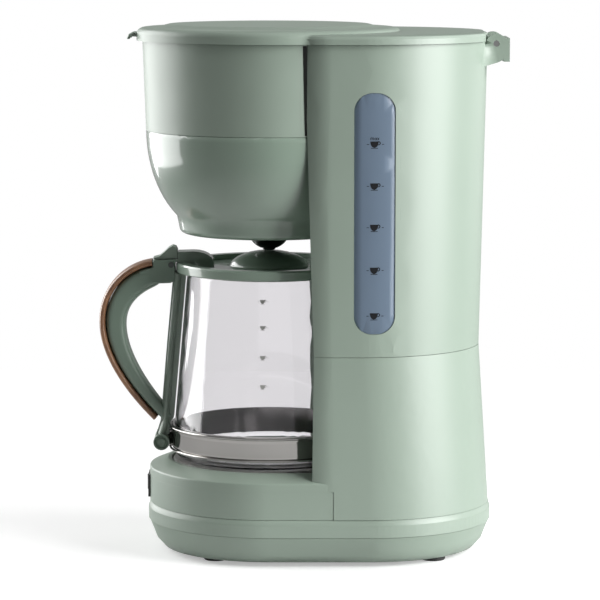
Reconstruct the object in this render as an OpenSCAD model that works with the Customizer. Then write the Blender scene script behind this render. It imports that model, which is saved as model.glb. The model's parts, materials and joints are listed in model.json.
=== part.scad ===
// Drip coffee maker with a glass carafe.
// Z is up, the carafe side faces -Y, the feet stand on Z = 0 and the origin is
// under the middle of the whole machine. All sizes are in millimetres.

/* [Outline] */
// Distance of the brewing axis in front of the origin
brew_y = 22; // [21:0.5:23]
// Radius of the base's round front and rear
base_r = 79.2; // [78.5:0.1:80.5]
// Distance of the base's rear arc centre behind the origin
base_rear_y = 43.6; // [42:0.2:46]
// How much further the tank's rim reaches out on each side than the base
rim_flare = 3; // [2.5:0.1:3.5]
// How much the tank narrows on each side down to its seam
tank_taper = 4.5; // [4:0.1:5]
// Distance of the tank's rear arc centre behind the origin
tank_rear_y = 37.2; // [35:0.2:39]
// Distance behind the origin where the side walls end and the front corners begin
corner_y = 18.5; // [17:0.5:20]
// Sideways place of the centre of each front corner
corner_x = 49; // [47:0.5:51]
// Wall of the body mouldings
wall = 2.6; // [2:0.1:3]
// Shadow gap between neighbouring outer mouldings
seam_gap = 0.3; // [0.2:0.05:0.4]

/* [Base] */
// Height of the rubber feet
foot_h = 3; // [2.5:0.25:4]
// Radius of the rubber feet
foot_r = 8; // [7:0.5:9]
// Height of the tapered bottom pan
pan_h = 17.6; // [16:0.2:19]
// How far the pan's bottom edge is set in
pan_taper = 9.5; // [8:0.5:11]
// Height of the skirt above the pan
skirt_h = 11.4; // [10.5:0.1:12.5]
// Width of the skirt's sloping shoulder
shoulder = 1; // [0.8:0.1:1.2]
// Height of the front housing above the skirt
deck_h = 23.5; // [22:0.5:25]
// Radius of the housing's rounded top edge
deck_round = 7; // [5:0.5:8]
// Height of the lower body from the skirt to the seam
lower_h = 104; // [100:1:110]
// Radius of the warming plate
plate_r = 63; // [60:0.5:64]
// Height of the warming plate above the housing
plate_rise = 4.5; // [4:0.25:5]
// Radius of the heating tube's horseshoe
element_r = 40; // [37:0.5:43]
// Radius of the sheathed heater
element_tube_r = 3.6; // [3:0.1:4]

/* [Tank] */
// Thickness of the tank's floor
floor_t = 3; // [2.5:0.25:3.5]
// Width of the level window
window_w = 26; // [22:1:30]
// Height of the level window
window_h = 152; // [140:1:158]
// Radius of the level window's corners
window_end_r = 11.5; // [9:0.25:12]
// Height of the level window's lower end above the seam
window_rise = 14.6; // [13:0.2:18]
// Distance of the window's middle behind the origin
window_y = 45; // [40:0.5:48]
// Radius of the riser tube
riser_r = 5; // [4.5:0.25:5.5]
// Distance of the riser tube behind the hollow front
riser_gap = 13.4; // [12.5:0.1:16]

/* [Brew basket] */
// How much the basket housing narrows down to its lower seam
shell_taper = 2.1; // [1.8:0.1:2.4]
// Height of the basket housing above its seam
shell_h = 57.5; // [54:0.5:60]
// Depth of the glossy bowl under the seam
bowl_h = 67.2; // [65:0.2:69]
// Gap between the carafe's collar and the bowl above it
basket_rise = 19.1; // [18.6:0.1:20]
// Height of the step at the bowl's bottom
bowl_step_h = 11.6; // [10.5:0.1:12.5]
// How far the bowl's bottom step is set in from its upper seam
bowl_inset = 20.4; // [20:0.2:22.6]
// Room between the filter holder and the basket's outside
holder_room = 8.6; // [8:0.1:10.5]
// Outer radius of the filter holder at its floor
holder_floor_r = 42; // [38:0.5:45]
// Wall of the filter holder
holder_wall = 2; // [1.6:0.1:2.4]
// Number of stiffening ribs inside the filter holder
holder_ribs = 8; // [6:1:12]
// Outer radius of the black drip outlet
spout_r = 13; // [12:0.25:14]
// How far the drip outlet stands below the bowl
spout_drop = 9.8; // [9:0.1:10.2]
// Radius of the drip valve's stem
stem_r = 4.4; // [4:0.1:4.8]
// Travel of the drip valve
valve_travel = 3; // [2.5:0.25:3.5]
// Wire radius of the valve spring
spring_wire_r = 0.45; // [0.4:0.05:0.5]
// Turns of the valve spring
spring_turns = 5; // [4:1:6]

/* [Lid] */
// How far the lid's front disc stands out over the basket
lid_overhang = 3.8; // [3.4:0.1:4.2]
// Height of the disc's rim
lid_rim_h = 8.4; // [8:0.1:9]
// Height of the rear part of the lid
lid_rear_h = 6; // [5.5:0.1:6.5]
// Rise of the middle of the disc above its rim
lid_crown = 2; // [1.5:0.1:2.5]
// Width of the disc's lower border round its raised middle
lid_border = 20.5; // [16:0.5:25]
// Wall of the lid
lid_wall = 2.2; // [1.8:0.1:2.5]
// Reach of the finger tab in front of the disc
tab_reach = 6.3; // [5:0.1:7]
// Distance of the lid's hinge pin behind the origin
hinge_y = 124; // [123.5:0.1:124.5]
// Radius of the hinge pin
hinge_pin_r = 2; // [1.8:0.1:2.2]
// Outer radius of the hinge ears
hinge_ear_r = 6.4; // [6:0.1:6.6]

/* [Carafe] */
// Largest outer radius of the glass, just above the band
glass_low_r = 62; // [61:0.2:62.4]
// Outer radius of the glass under the collar
glass_top_r = 53.6; // [52:0.2:55]
// Thickness of the glass
glass_t = 2.2; // [1.8:0.1:2.6]
// Height of the carafe from its foot to the top of the collar
carafe_h = 128.2; // [127:0.2:129]
// How far the collar stands out round the glass
collar_reach = 6.9; // [6:0.1:7.2]
// Height of the collar
collar_h = 6.2; // [5.5:0.1:7]
// Height of the steel band's lower edge above the carafe's foot
band_rise = 5.8; // [5:0.2:7]
// Height of the steel band
band_h = 16.4; // [15:0.2:18]
// Outer radius of the steel band
band_r = 65; // [64.6:0.1:65.4]
// Radius of the dome on the carafe lid
dome_r = 26; // [24:0.5:27]
// Height of the dome on the carafe lid
dome_h = 11.4; // [10.5:0.1:12]
// Reach of the handle from the carafe's axis
grip_reach = 110.8; // [109:0.2:112]
// Thickness of the handle where it meets the collar
grip_top_t = 16; // [15:0.25:17]
// Thickness of the handle at its foot
grip_foot_t = 11.5; // [10.5:0.25:12.5]
// Extra thickness of the handle behind its upper bend
grip_swell = 4.4; // [3.5:0.1:5]
// Width of the handle
grip_w = 21; // [18:0.5:24]
// Thickness of the wood inlay on the handle's back
inlay_t = 4.4; // [3.8:0.1:5]
// Radius of the carafe lid's hinge pin
lid_pin_r = 1.6; // [1.4:0.1:1.8]

/* [Switch] */
// Width of the switch bezel
bezel_w = 21; // [20:0.5:22]
// Height of the switch bezel
bezel_h = 14.6; // [13:0.2:15]
// Height of the switch's middle above the skirt
switch_rise = 9.9; // [9:0.1:10.5]

/* [Hidden] */
$fn = 96;

eps = 0.01;
// Clearance between pieces that are pushed together and stay still
seat = 0.15;
// Radial clearance of a turning or sliding fit
running_fit = 0.05;
// Clearance between pieces on different moving bodies
body_gap = 0.3;

pan_top = foot_h + pan_h;
skirt_top = pan_top + skirt_h;
deck_z = skirt_top + deck_h;
seam_z = skirt_top + lower_h;
tank_floor_z = seam_z + floor_t;
plate_z = deck_z + plate_rise;
carafe_z = plate_z + body_gap;
collar_top_z = carafe_z + carafe_h;
collar_r = glass_top_r + collar_reach;
bowl_z = collar_top_z + basket_rise;
shell_z = bowl_z + bowl_h;
rim_z = shell_z + shell_h;
lid_z = rim_z + body_gap;
hinge_z = lid_z - 1.6;
collar_z = collar_top_z - collar_h;
glass_belly_z = carafe_z + 21;
glass_neck_z = collar_z - 4;
glass_rim_z = collar_z + 1.6;
dome_z = glass_rim_z + 0.8;
dome_top_z = dome_z + dome_h;
band_z = carafe_z + band_rise;

rim_w = base_r + rim_flare;
seam_w = rim_w - tank_taper;
shell_rim_r = rim_w - 0.5;
shell_low_r = shell_rim_r - shell_taper;
recess_r = shell_low_r + 1;
bowl_step_r = shell_low_r - bowl_inset;
holder_rim_r = shell_low_r - holder_room;
riser_y = recess_r - brew_y + riser_gap;
lid_r = shell_rim_r + lid_overhang;
lid_crown_r = lid_r - lid_border;

bowl_wall = 2.4;
housing_r = base_r - 0.9;
body_foot_w = base_r - 0.6;
body_foot_rear_y = base_rear_y - 0.6;
slit_y = corner_y + 0.8;

green = [0.62, 0.71, 0.65];
dark_green = [0.30, 0.40, 0.34];
black = [0.10, 0.10, 0.10];
steel = [0.78, 0.78, 0.77];
rubber = [0.16, 0.16, 0.16];
silicone = [0.86, 0.86, 0.82];
wood = [0.55, 0.30, 0.17];
clear_glass = [0.85, 0.90, 0.92, 0.35];
water_blue = [0.45, 0.52, 0.60, 0.6];

// ---- shared forms -------------------------------------------------------

module at_brew() {
    translate([0, -brew_y, 0]) children();
}

// Solid with a round front and rear whose radius changes from r0 to r1
module capsule(r0, r1, z0, z1, front_y = -brew_y, rear_y = base_rear_y) {
    for (y = [front_y, rear_y])
        translate([0, y, z0]) cylinder(h = z1 - z0, r1 = r0, r2 = r1);
    translate([0, rear_y, 0]) rotate([90, 0, 0])
        linear_extrude(rear_y - front_y)
            polygon([[-r0, z0], [r0, z0], [r1, z1], [-r1, z1]]);
}

// Column with flat sides, a round rear and round front corners. Its half width
// goes from w0 to w1 and its rear arc centre from yc0 to yc1.
module column(w0, w1, yc0, yc1, z0, z1, inset = 0) {
    h = z1 - z0;
    lean = (yc1 - yc0) / h;
    multmatrix([[1, 0, 0, 0], [0, 1, lean, yc0], [0, 0, 1, z0], [0, 0, 0, 1]])
        cylinder(h = h, r1 = w0 - inset, r2 = w1 - inset);
    intersection() {
        translate([0, yc0 + h, 0]) rotate([90, 0, 0]) linear_extrude(yc0 + h - corner_y)
            polygon([[-w0 + inset, z0], [w0 - inset, z0],
                     [w1 - inset, z1], [-w1 + inset, z1]]);
        rotate([90, 0, 90]) linear_extrude(4 * w0, center = true)
            polygon([[corner_y, z0], [yc0, z0], [yc1, z1], [corner_y, z1]]);
    }
    for (side = [-1, 1])
        translate([side * corner_x, corner_y, z0])
            cylinder(h = h, r1 = w0 - corner_x - inset, r2 = w1 - corner_x - inset);
}

// Hollow front of the body, cut deeper by the given amount
module recess(deeper = 0, z0 = 0, z1 = rim_z + 1) {
    flare_z = shell_z + 11;
    at_brew() {
        translate([0, 0, z0 - eps]) cylinder(h = z1 - z0 + 2 * eps, r = recess_r + deeper);
        if (z1 > flare_z)
            translate([0, 0, flare_z])
                cylinder(h = z1 - flare_z + eps, r1 = recess_r + deeper,
                    r2 = recess_r + deeper + (shell_rim_r + 0.5 - recess_r)
                        * (z1 - flare_z) / (rim_z - flare_z));
    }
}

// Front housing of the base: rounded top edge, straight rear end
module housing_form(grow = 0, z0 = skirt_top) {
    r = housing_r + grow;
    top = deck_z + grow;
    profile = concat([[0, z0], [r, z0]],
        [for (a = [0:10:90]) [r - deck_round * (1 - cos(a)), top - deck_round * (1 - sin(a))]],
        [[0, top]]);
    at_brew() {
        rotate([0, 0, 180]) rotate_extrude(angle = 180) polygon(profile);
        for (side = [0, 1]) mirror([side, 0, 0])
            translate([0, brew_y + slit_y + grow, 0]) rotate([90, 0, 0])
                linear_extrude(brew_y + slit_y + grow) polygon(profile);
    }
}

// Ring of points around a centre; n and b are the two half axes of the ring
function ring(c, n, b, sides) =
    [for (i = [0:sides - 1]) let (a = 360 * i / sides) c + cos(a) * n + sin(a) * b];

function unit(v) = v / norm(v);

// Closed skin through rings of equal length
module skin(rings) {
    n = len(rings[0]);
    m = len(rings);
    polyhedron(points = [for (r = rings) for (p = r) p],
        faces = concat(
            [[for (i = [0:n - 1]) i]],
            [for (k = [0:m - 2]) for (i = [0:n - 1]) let (j = (i + 1) % n)
                [k * n + i, (k + 1) * n + i, (k + 1) * n + j]],
            [for (k = [0:m - 2]) for (i = [0:n - 1]) let (j = (i + 1) % n)
                [k * n + i, (k + 1) * n + j, k * n + j]],
            [[for (i = [n - 1:-1:0]) (m - 1) * n + i]]));
}

// Round tube along points p, with its first ring level with the direction aim
function along(p, i) = unit(p[min(i + 1, len(p) - 1)] - p[max(i - 1, 0)]);
module hose(p, r, side = [1, 0, 0], sides = 12) {
    skin([for (i = [0:len(p) - 1])
        let (t = along(p, i), n = unit(side - (side * t) * t), b = cross(t, n))
        ring(p[i], r * n, r * b, sides)]);
}

// Point and slope of a cubic curve with four control points
function cubic(c, t) = pow(1 - t, 3) * c[0] + 3 * pow(1 - t, 2) * t * c[1]
    + 3 * (1 - t) * t * t * c[2] + pow(t, 3) * c[3];
function cubic_dir(c, t) = unit(pow(1 - t, 2) * (c[1] - c[0])
    + 2 * (1 - t) * t * (c[2] - c[1]) + t * t * (c[3] - c[2]));

// ---- base ---------------------------------------------------------------

// Places on one side, from the front to the rear, then the same on both sides
foot_side = [[base_r / 1.8, base_r * -0.43 - brew_y], [base_r / 1.8, base_r * 0.51 + base_rear_y]];
screw_side = [[base_r * 0.42, base_r * -0.58 - brew_y], [base_r * 0.783, base_rear_y - base_r * 0.222],
    [base_r * 0.42, base_r * 0.62 + base_rear_y]];
foot_places = [for (x = [-1, 1]) for (p = foot_side) [x * p[0], p[1]]];
screw_places = [for (x = [-1, 1]) for (p = screw_side) [x * p[0], p[1]]];
pan_floor = 2.6;
screw_r = 1.8;
screw_sink = 6;
slot_l = 36;

module base_pan() {
    r_low = base_r - 0.5 - pan_taper;
    r_top = base_r - 0.5;
    knee = pan_h * 0.3;
    color(green) difference() {
        union() {
            capsule(r_low, r_low + pan_taper * 0.5, foot_h, foot_h + knee);
            capsule(r_low + pan_taper * 0.5, r_top, foot_h + knee, pan_top - seam_gap);
        }
        difference() {
            union() {
                capsule(r_low - wall, r_low + pan_taper * 0.5 - wall,
                    foot_h + pan_floor, foot_h + knee + eps);
                capsule(r_low + pan_taper * 0.5 - wall, r_top - wall,
                    foot_h + knee, pan_top + eps);
            }
            // screw posts
            for (p = screw_places) translate(p) cylinder(h = pan_top, r = 5);
        }
        for (p = screw_places) translate(p) {
            cylinder(h = pan_top + 1, r = screw_r + 0.1);
            cylinder(h = pan_top - screw_sink, r = 2 * screw_r);
        }
        // shallow seats for the feet
        for (p = foot_places) translate(p) cylinder(h = foot_h + 1, r = foot_r + seat);
        // air slots under the heater
        for (i = [-4:4]) translate([-slot_l / 2, i * 8, 0]) cube([slot_l, 3, foot_h + pan_floor + 1]);
    }
}

module feet() {
    color(rubber) for (p = foot_places) translate(p) difference() {
        union() {
            translate([0, 0, 0.8]) cylinder(h = foot_h + 1 - 0.8, r = foot_r);
            cylinder(h = 0.8, r1 = foot_r - 0.8, r2 = foot_r);
        }
        translate([0, 0, -eps]) cylinder(h = 1, r = foot_r * 0.5);
    }
}

module base_screws() {
    head_h = 2.4;
    color(steel) for (p = screw_places) translate([p[0], p[1], pan_top - screw_sink]) difference() {
        union() {
            translate([0, 0, -head_h]) cylinder(h = head_h, r = 1.8 * screw_r);
            translate([0, 0, -eps]) cylinder(h = 2 * screw_sink, r = screw_r);
        }
        translate([0, 0, -head_h - 0.6]) cylinder(h = 1.6, r = 1.5, $fn = 6);
    }
}

module base_skirt() {
    r = base_r;
    band_top = skirt_top - 3.7;
    rib_t = 2.4;
    color(green) difference() {
        union() {
            capsule(r, r, pan_top, band_top);
            capsule(r - 0.3, r - shoulder, band_top, skirt_top - seam_gap);
        }
        difference() {
            capsule(r - wall - 0.6, r - wall - 0.6, pan_top - 1, skirt_top + 1);
            for (p = screw_places) translate([p[0], p[1], pan_top]) cylinder(h = 8, r = 4.5);
            // cross ribs that tie the screw posts to the wall
            for (p = screw_places)
                translate([p[0] - (p[0] > 0 ? 0 : base_r), p[1] - rib_t / 2, pan_top])
                    cube([base_r, rib_t, 7]);
        }
        for (p = screw_places) translate(p)
            cylinder(h = pan_top + screw_sink + 0.5, r = screw_r + 0.05);
    }
}

module base_housing() {
    opening_r = plate_r - 6.3;
    round_in = 4;
    room_r = housing_r - wall;
    room_h = deck_h - wall + 1;
    room_l = brew_y + slit_y + 1;
    carrier_z = switch_z + body_h / 2 + 0.6 - skirt_top + 1;
    color(green) difference() {
        housing_form();
        // inside, with the same rounded edge
        at_brew() translate([0, 0, skirt_top - 1]) {
            difference() {
                union() {
                    cylinder(h = room_h - round_in, r = room_r);
                    cylinder(h = room_h, r = room_r - round_in);
                    translate([-room_r, 0, 0]) cube([2 * room_r, room_l, room_h - round_in]);
                    translate([round_in - room_r, 0, 0])
                        cube([2 * (room_r - round_in), room_l, room_h]);
                }
                // collar that carries the warming plate
                difference() {
                    cylinder(h = deck_h + 2, r = opening_r + 3);
                    cylinder(h = deck_h + 3, r = opening_r);
                    cylinder(h = carrier_z, r = opening_r + 4);
                }
            }
        }
        at_brew() translate([0, 0, skirt_top]) cylinder(h = deck_h + 1, r = opening_r);
        switch_hole();
    }
    // rear of the deck, nested in the hollow of the lower body
    color(green) difference() {
        intersection() {
            at_brew() translate([0, 0, deck_z - wall]) cylinder(h = wall, r = recess_r - seam_gap);
            translate([seam_gap - body_foot_w, slit_y - eps, 0])
                cube([2 * (body_foot_w - seam_gap), base_r, deck_z + 1]);
        }
        at_brew() cylinder(h = deck_z + 1, r = opening_r);
    }
}

// ---- switch -------------------------------------------------------------

switch_z = skirt_top + switch_rise;
bezel_front_y = -(brew_y + housing_r + 0.9);
body_w = bezel_w - 3;
body_h = bezel_h - 3;
rocker_w = bezel_w - 5.4;
rocker_h = bezel_h - 4.4;
rocker_tilt = 9;

module switch_hole() {
    translate([-body_w / 2 - seat, bezel_front_y, switch_z - body_h / 2 - seat])
        cube([body_w + 2 * seat, 8, body_h + 2 * seat]);
}

module switch_bezel() {
    color(black) difference() {
        union() {
            translate([0, bezel_front_y, switch_z]) rotate([-90, 0, 0]) difference() {
                linear_extrude(2.4) square([bezel_w, bezel_h], center = true);
                // back of the rim follows the housing's round front
                rotate([90, 0, 0])
                    translate([0, housing_r + 0.9, -bezel_h]) cylinder(h = 2 * bezel_h, r = housing_r + seat);
            }
            translate([-body_w / 2, bezel_front_y + 1, switch_z - body_h / 2])
                cube([body_w, 13, body_h]);
        }
        translate([-rocker_w / 2 - 0.6, bezel_front_y - 1, switch_z - rocker_h / 2 - 0.4])
            cube([rocker_w + 1.2, 11, rocker_h + 0.8]);
        translate([0, bezel_front_y + 4, switch_z - body_h / 2 - 1])
            cylinder(h = body_h + 2, r = 1 + running_fit, $fn = 32);
    }
    // contact blades at the back
    color(steel) for (x = [-5, 0, 5])
        translate([x - 1.6, bezel_front_y + 14, switch_z - 0.4]) cube([3.2, 6, 0.8]);
}

module rocker_switch() {
    color(black) translate([0, bezel_front_y + 4, switch_z]) rotate([0, 0, rocker_tilt]) {
        intersection() {
            translate([0, 0, -rocker_h / 2]) linear_extrude(rocker_h)
                polygon([[-rocker_w / 2, -4.4], [0, -3.2], [rocker_w / 2, -4.4],
                         [rocker_w / 2 - 1, 0], [2.2, 3.4], [-2.2, 3.4], [-rocker_w / 2 + 1, 0]]);
            cylinder(h = rocker_h + 1, r = rocker_w / 2, center = true);
        }
        translate([0, 0, -body_h / 2 + 0.2]) cylinder(h = body_h - 0.4, r = 1, $fn = 32);
    }
}

// ---- warming plate and heater -------------------------------------------

plate_t = 1.4;

module hotplate() {
    rim_r = plate_r;
    color([0.22, 0.22, 0.23]) at_brew() rotate_extrude() polygon([
        [0, plate_z - plate_t], [rim_r - 9, plate_z - plate_t],
        [rim_r - 8, deck_z - 6], [rim_r - 8 + plate_t, deck_z - 6], [rim_r - 7.6, plate_z - plate_t],
        [rim_r - 1.2, plate_z - plate_t - 0.2], [rim_r - 1.4, deck_z + 1.6],
        [rim_r, deck_z + 1.6], [rim_r, plate_z - 1], [rim_r - 1, plate_z], [0, plate_z]]);
}

module plate_seal() {
    color(silicone) at_brew() rotate_extrude() polygon([
        [plate_r - 5.6, deck_z + seat], [plate_r - 0.6, deck_z + seat],
        [plate_r - 0.6, deck_z + 1.5], [plate_r - 2.2, deck_z + 1.5],
        [plate_r - 2.4, plate_z - plate_t - 0.4], [plate_r - 5.6, plate_z - plate_t - 0.3]]);
}

element_z = plate_z - plate_t - element_tube_r - 0.1;
element_leg = 20;

// Half circle round the brewing axis with two straight legs to the rear
module horseshoe(r, z, ring_r, leg) {
    at_brew() {
        rotate([0, 0, 180]) rotate_extrude(angle = 180) translate([ring_r, z]) circle(r = r, $fn = 32);
        for (side = [-1, 1]) translate([side * ring_r, -eps, z]) rotate([-90, 0, 0])
            cylinder(h = leg + eps, r = r, $fn = 32);
    }
}

module heating_element() {
    color([0.55, 0.53, 0.50]) horseshoe(element_tube_r, element_z, element_r, element_leg);
    // ceramic ends with their blades
    for (side = [-1, 1])
        translate([side * element_r, element_leg - brew_y, element_z]) rotate([-90, 0, 0]) {
            color([0.9, 0.88, 0.82]) cylinder(h = 5, r = element_tube_r - 0.6, $fn = 32);
            color(steel) cylinder(h = 11, r = 1, $fn = 24);
        }
}

flow_r = element_tube_r + 0.6;
flow_bore = flow_r - 1;
flow_ring_r = element_r - element_tube_r - flow_r - seat;
flow_z = element_z - 0.6;
flow_leg = 16;
// Each end of the flow tube slopes down under the deck
flow_tilt = 35;
flow_tail = 20;

// Point on the sloping end, at distance s from its elbow
function tail_point(s, side) = [side * flow_ring_r, flow_leg - brew_y + s * cos(flow_tilt),
    flow_z - s * sin(flow_tilt)];

module flow_tube() {
    color([0.72, 0.72, 0.70]) difference() {
        union() {
            horseshoe(flow_r, flow_z, flow_ring_r, flow_leg);
            for (side = [-1, 1]) translate(tail_point(0, side)) {
                sphere(r = flow_r, $fn = 32);
                rotate([-90 - flow_tilt, 0, 0]) cylinder(h = flow_tail, r = flow_r, $fn = 32);
            }
        }
        for (side = [-1, 1]) translate(tail_point(2, side)) rotate([-90 - flow_tilt, 0, 0])
            cylinder(h = flow_tail, r = flow_bore, $fn = 32);
    }
}

clamp_z = flow_z - flow_r - 0.15;

module element_clamp() {
    color(steel) at_brew() difference() {
        union() {
            translate([-element_r - 6, -7, clamp_z - 1.5]) cube([2 * element_r + 12, 14, 1.5]);
            translate([0, 0, clamp_z - 1.5]) cylinder(h = 1.5, r = 16);
            // turned up ends that bear on the plate's rim
            for (side = [-1, 1]) translate([side * (element_r + 6) - 0.75, -7, clamp_z - 1.5])
                cube([1.5, 14, plate_z - plate_t - 0.15 - clamp_z + 1.5]);
        }
        translate([0, 0, clamp_z - 3]) cylinder(h = 6, r = 2.1, $fn = 32);
    }
}

module clamp_screw() {
    color(steel) at_brew() {
        difference() {
            translate([0, 0, clamp_z - 1.5 - 3.1]) cylinder(h = 3, r = 3.6, $fn = 40);
            translate([-0.5, -4, clamp_z - 5]) cube([1, 8, 1.4]);
        }
        translate([0, 0, clamp_z - 1.5 - 0.2]) cylinder(h = plate_z - plate_t - 0.1 - clamp_z + 1.6, r = 2, $fn = 32);
    }
}

module thermostat() {
    color([0.85, 0.83, 0.78]) translate([0, -brew_y - 11, clamp_z - 1.65]) {
        mirror([0, 0, 1]) cylinder(h = 7, r = 5, $fn = 40);
        for (side = [-1, 1]) translate([side * 3 - 1, -4.4, -9.5]) cube([2, 0.8, 4]);
    }
}

// ---- water path ---------------------------------------------------------

hose_in = flow_r + 0.1;
hose_out = hose_in + 1.8;
tank_port_y = riser_y + 6;
tank_port_x = 30;
port_r = 4;

// Where the hoses are pushed on to the flow tube's sloping ends
hose_start = 11;

module hose_between(p) {
    color(silicone) difference() {
        hose(p, hose_out, sides = 16);
        // sockets at the two ends
        translate(p[0]) rotate([-90 - flow_tilt, 0, 0]) translate([0, 0, -1])
            cylinder(h = flow_tail - hose_start + 1.3, r = hose_in, $fn = 32);
        translate(p[len(p) - 1] - [0, 0, 8]) cylinder(h = 10, r = port_r + 0.1, $fn = 32);
    }
}

// Lower run of either hose, from the flow tube back into the body
function hose_run(side) = concat([for (s = [hose_start, 17, 24]) tail_point(s, side)],
    [for (q = [[22, 36.9], [31, 36], [42, 36.5], [52, 38.5], [60, 43.5]])
        [side * flow_ring_r, q[0], q[1] - 55.5 + deck_z]]);

inlet_path = concat(hose_run(1),
    [for (q = [[1.7, 66, 51], [1.2, 71, 60], [0.5, 75.5, 70], [0, tank_port_y, 81], [0, tank_port_y, 92]])
        [tank_port_x + q[0], q[1], q[2] - 55.5 + deck_z]],
    [[tank_port_x, tank_port_y, seam_z - 27], [tank_port_x, tank_port_y, seam_z - 16]]);
riser_path = concat(hose_run(-1),
    [for (q = [[-31.5, -7, 51], [-29.5, -4, 60], [-25, -2, 69], [-18, -0.5, 78], [-10.5, 0, 87],
               [-4.5, 0, 96], [-1, 0, 105]])
        [q[0], riser_y + q[1], q[2] - 55.5 + deck_z]],
    [[0, riser_y, seam_z - 22], [0, riser_y, seam_z - 14], [0, riser_y, seam_z - 6]]);

module inlet_hose() {
    hose_between(inlet_path);
}

module riser_hose() {
    hose_between(riser_path);
}

module check_valve() {
    color([0.92, 0.92, 0.90]) translate([tank_port_x, tank_port_y, 0]) difference() {
        union() {
            translate([0, 0, seam_z - 23]) cylinder(h = 9, r = port_r, $fn = 32);
            translate([0, 0, seam_z - 15.5]) cylinder(h = 8, r = 7, $fn = 40);
            translate([0, 0, seam_z - 7.5 - eps]) cylinder(h = 7.3, r = port_r, $fn = 32);
        }
        translate([0, 0, seam_z - 24]) cylinder(h = 26, r = 2, $fn = 32);
        translate([0, 0, seam_z - 13]) cylinder(h = 4, r = 3.6, $fn = 32);
    }
}

module riser_tube() {
    top = rim_z - 9;
    color([0.92, 0.92, 0.90]) translate([0, riser_y, 0]) difference() {
        union() {
            translate([0, 0, seam_z - 13]) cylinder(h = 12, r = port_r, $fn = 32);
            translate([0, 0, tank_floor_z + seat]) cylinder(h = top - tank_floor_z - seat, r = riser_r, $fn = 48);
            translate([0, 0, tank_floor_z + seat]) cylinder(h = 2, r = riser_r + 3, $fn = 48);
            translate([0, 0, seam_z - 2]) cylinder(h = floor_t + 3, r = port_r, $fn = 32);
        }
        translate([0, 0, seam_z - 14]) cylinder(h = rim_z, r = port_r - 1.2, $fn = 32);
    }
}

// ---- body ---------------------------------------------------------------

module lower_body() {
    color(green) difference() {
        column(body_foot_w, seam_w, body_foot_rear_y, tank_rear_y, skirt_top, seam_z - seam_gap);
        difference() {
            column(body_foot_w, seam_w, body_foot_rear_y, tank_rear_y,
                skirt_top - 1, seam_z + 1, inset = wall);
            recess(deeper = wall, z0 = skirt_top - 2, z1 = seam_z + 2);
        }
        recess(z0 = skirt_top - 2, z1 = seam_z + 1);
        housing_form(grow = seam_gap, z0 = skirt_top - 2);
        // ways for the two hoses under the deck
        for (side = [-1, 1]) translate([side * flow_ring_r - 11, 40, skirt_top - 1])
            cube([22, 30, deck_z - 3.7 - skirt_top + 1]);
        // round outlet at the rear
        at_bushing() translate([0, 0, -3 * wall]) cylinder(h = 6 * wall, r = bushing_r + seat, $fn = 48);
    }
}

bushing_r = 6;
bushing_z = skirt_top + 16;
bushing_turn = 35;
bushing_flange_r = bushing_r + 2;
// Share of the way up to the seam, the wall's radius there and its lean
bushing_up = (bushing_z - skirt_top) / lower_h;
bushing_wall_r = body_foot_w + bushing_up * (seam_w - body_foot_w);
bushing_lean = (body_foot_w + body_foot_rear_y - seam_w - tank_rear_y) / lower_h;
// How far the round, leaning wall falls away under the flanges
bushing_fall = bushing_flange_r * abs(bushing_lean)
    + bushing_flange_r * bushing_flange_r / (2 * bushing_wall_r) + seat;

// Frame on the outside of the rear wall, with its Z axis pointing outwards
module at_bushing() {
    translate([0, body_foot_rear_y + bushing_up * (tank_rear_y - body_foot_rear_y), bushing_z])
        rotate([0, 0, bushing_turn]) translate([0, bushing_wall_r, 0]) rotate([-90, 0, 0]) children();
}

seam_post_x = seam_w - 6.2;

module cord_bushing() {
    inner_z = -wall - bushing_fall;
    color(rubber) at_bushing() difference() {
        union() {
            translate([0, 0, inner_z - 2])
                cylinder(h = bushing_fall + 3 - inner_z, r = bushing_r, $fn = 48);
            translate([0, 0, bushing_fall - 0.2]) cylinder(h = 1.2, r = bushing_flange_r, $fn = 48);
            translate([0, 0, inner_z - 2]) cylinder(h = 2, r = bushing_flange_r, $fn = 48);
        }
        translate([0, 0, inner_z - 3]) cylinder(h = 10 - inner_z, r = bushing_r * 0.6, $fn = 48);
    }
}

ear_in = 13;
ear_t = 8;
stop_t = 3.4;

// Half width and depth of the spreader's way through the walls
notch_w = 17;
notch_h = 12;

module tank_shell() {
    color(green) difference() {
        union() {
            difference() {
                column(seam_w, rim_w, tank_rear_y, tank_rear_y, seam_z, rim_z);
                difference() {
                    column(seam_w, rim_w, tank_rear_y, tank_rear_y,
                        seam_z, rim_z + eps, inset = wall);
                    recess(deeper = wall, z0 = seam_z - 1, z1 = rim_z + 1);
                    translate([0, 0, seam_z - 1]) cylinder(h = floor_t + 1, r = 200);
                }
                recess(z0 = seam_z - 1, z1 = rim_z + 1);
            }
            hinge_ears();
        }
        // way for the water spreader through the front wall
        translate([-notch_w, 0, rim_z - notch_h]) cube([2 * notch_w, riser_y, notch_h + 2]);
        // ports in the floor
        translate([0, riser_y, seam_z - 1]) cylinder(h = floor_t + 2, r = port_r + seat, $fn = 48);
        translate([tank_port_x, tank_port_y, seam_z - 1])
            cylinder(h = floor_t + 2, r = port_r + seat, $fn = 48);
        // overflow slot at the rear
        for (x = [-40, -28]) translate([x - 2, tank_rear_y, rim_z - 20]) cube([4, 100, 5]);
        window_slot(0);
        translate([0, hinge_y, hinge_z]) rotate([0, 90, 0])
            cylinder(h = 100, r = hinge_pin_r, center = true, $fn = 48);
    }
    color(green) for (side = [-1, 1]) translate([side * seam_post_x, 56, tank_floor_z - eps])
        cylinder(h = 4, r = 4);
}

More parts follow.
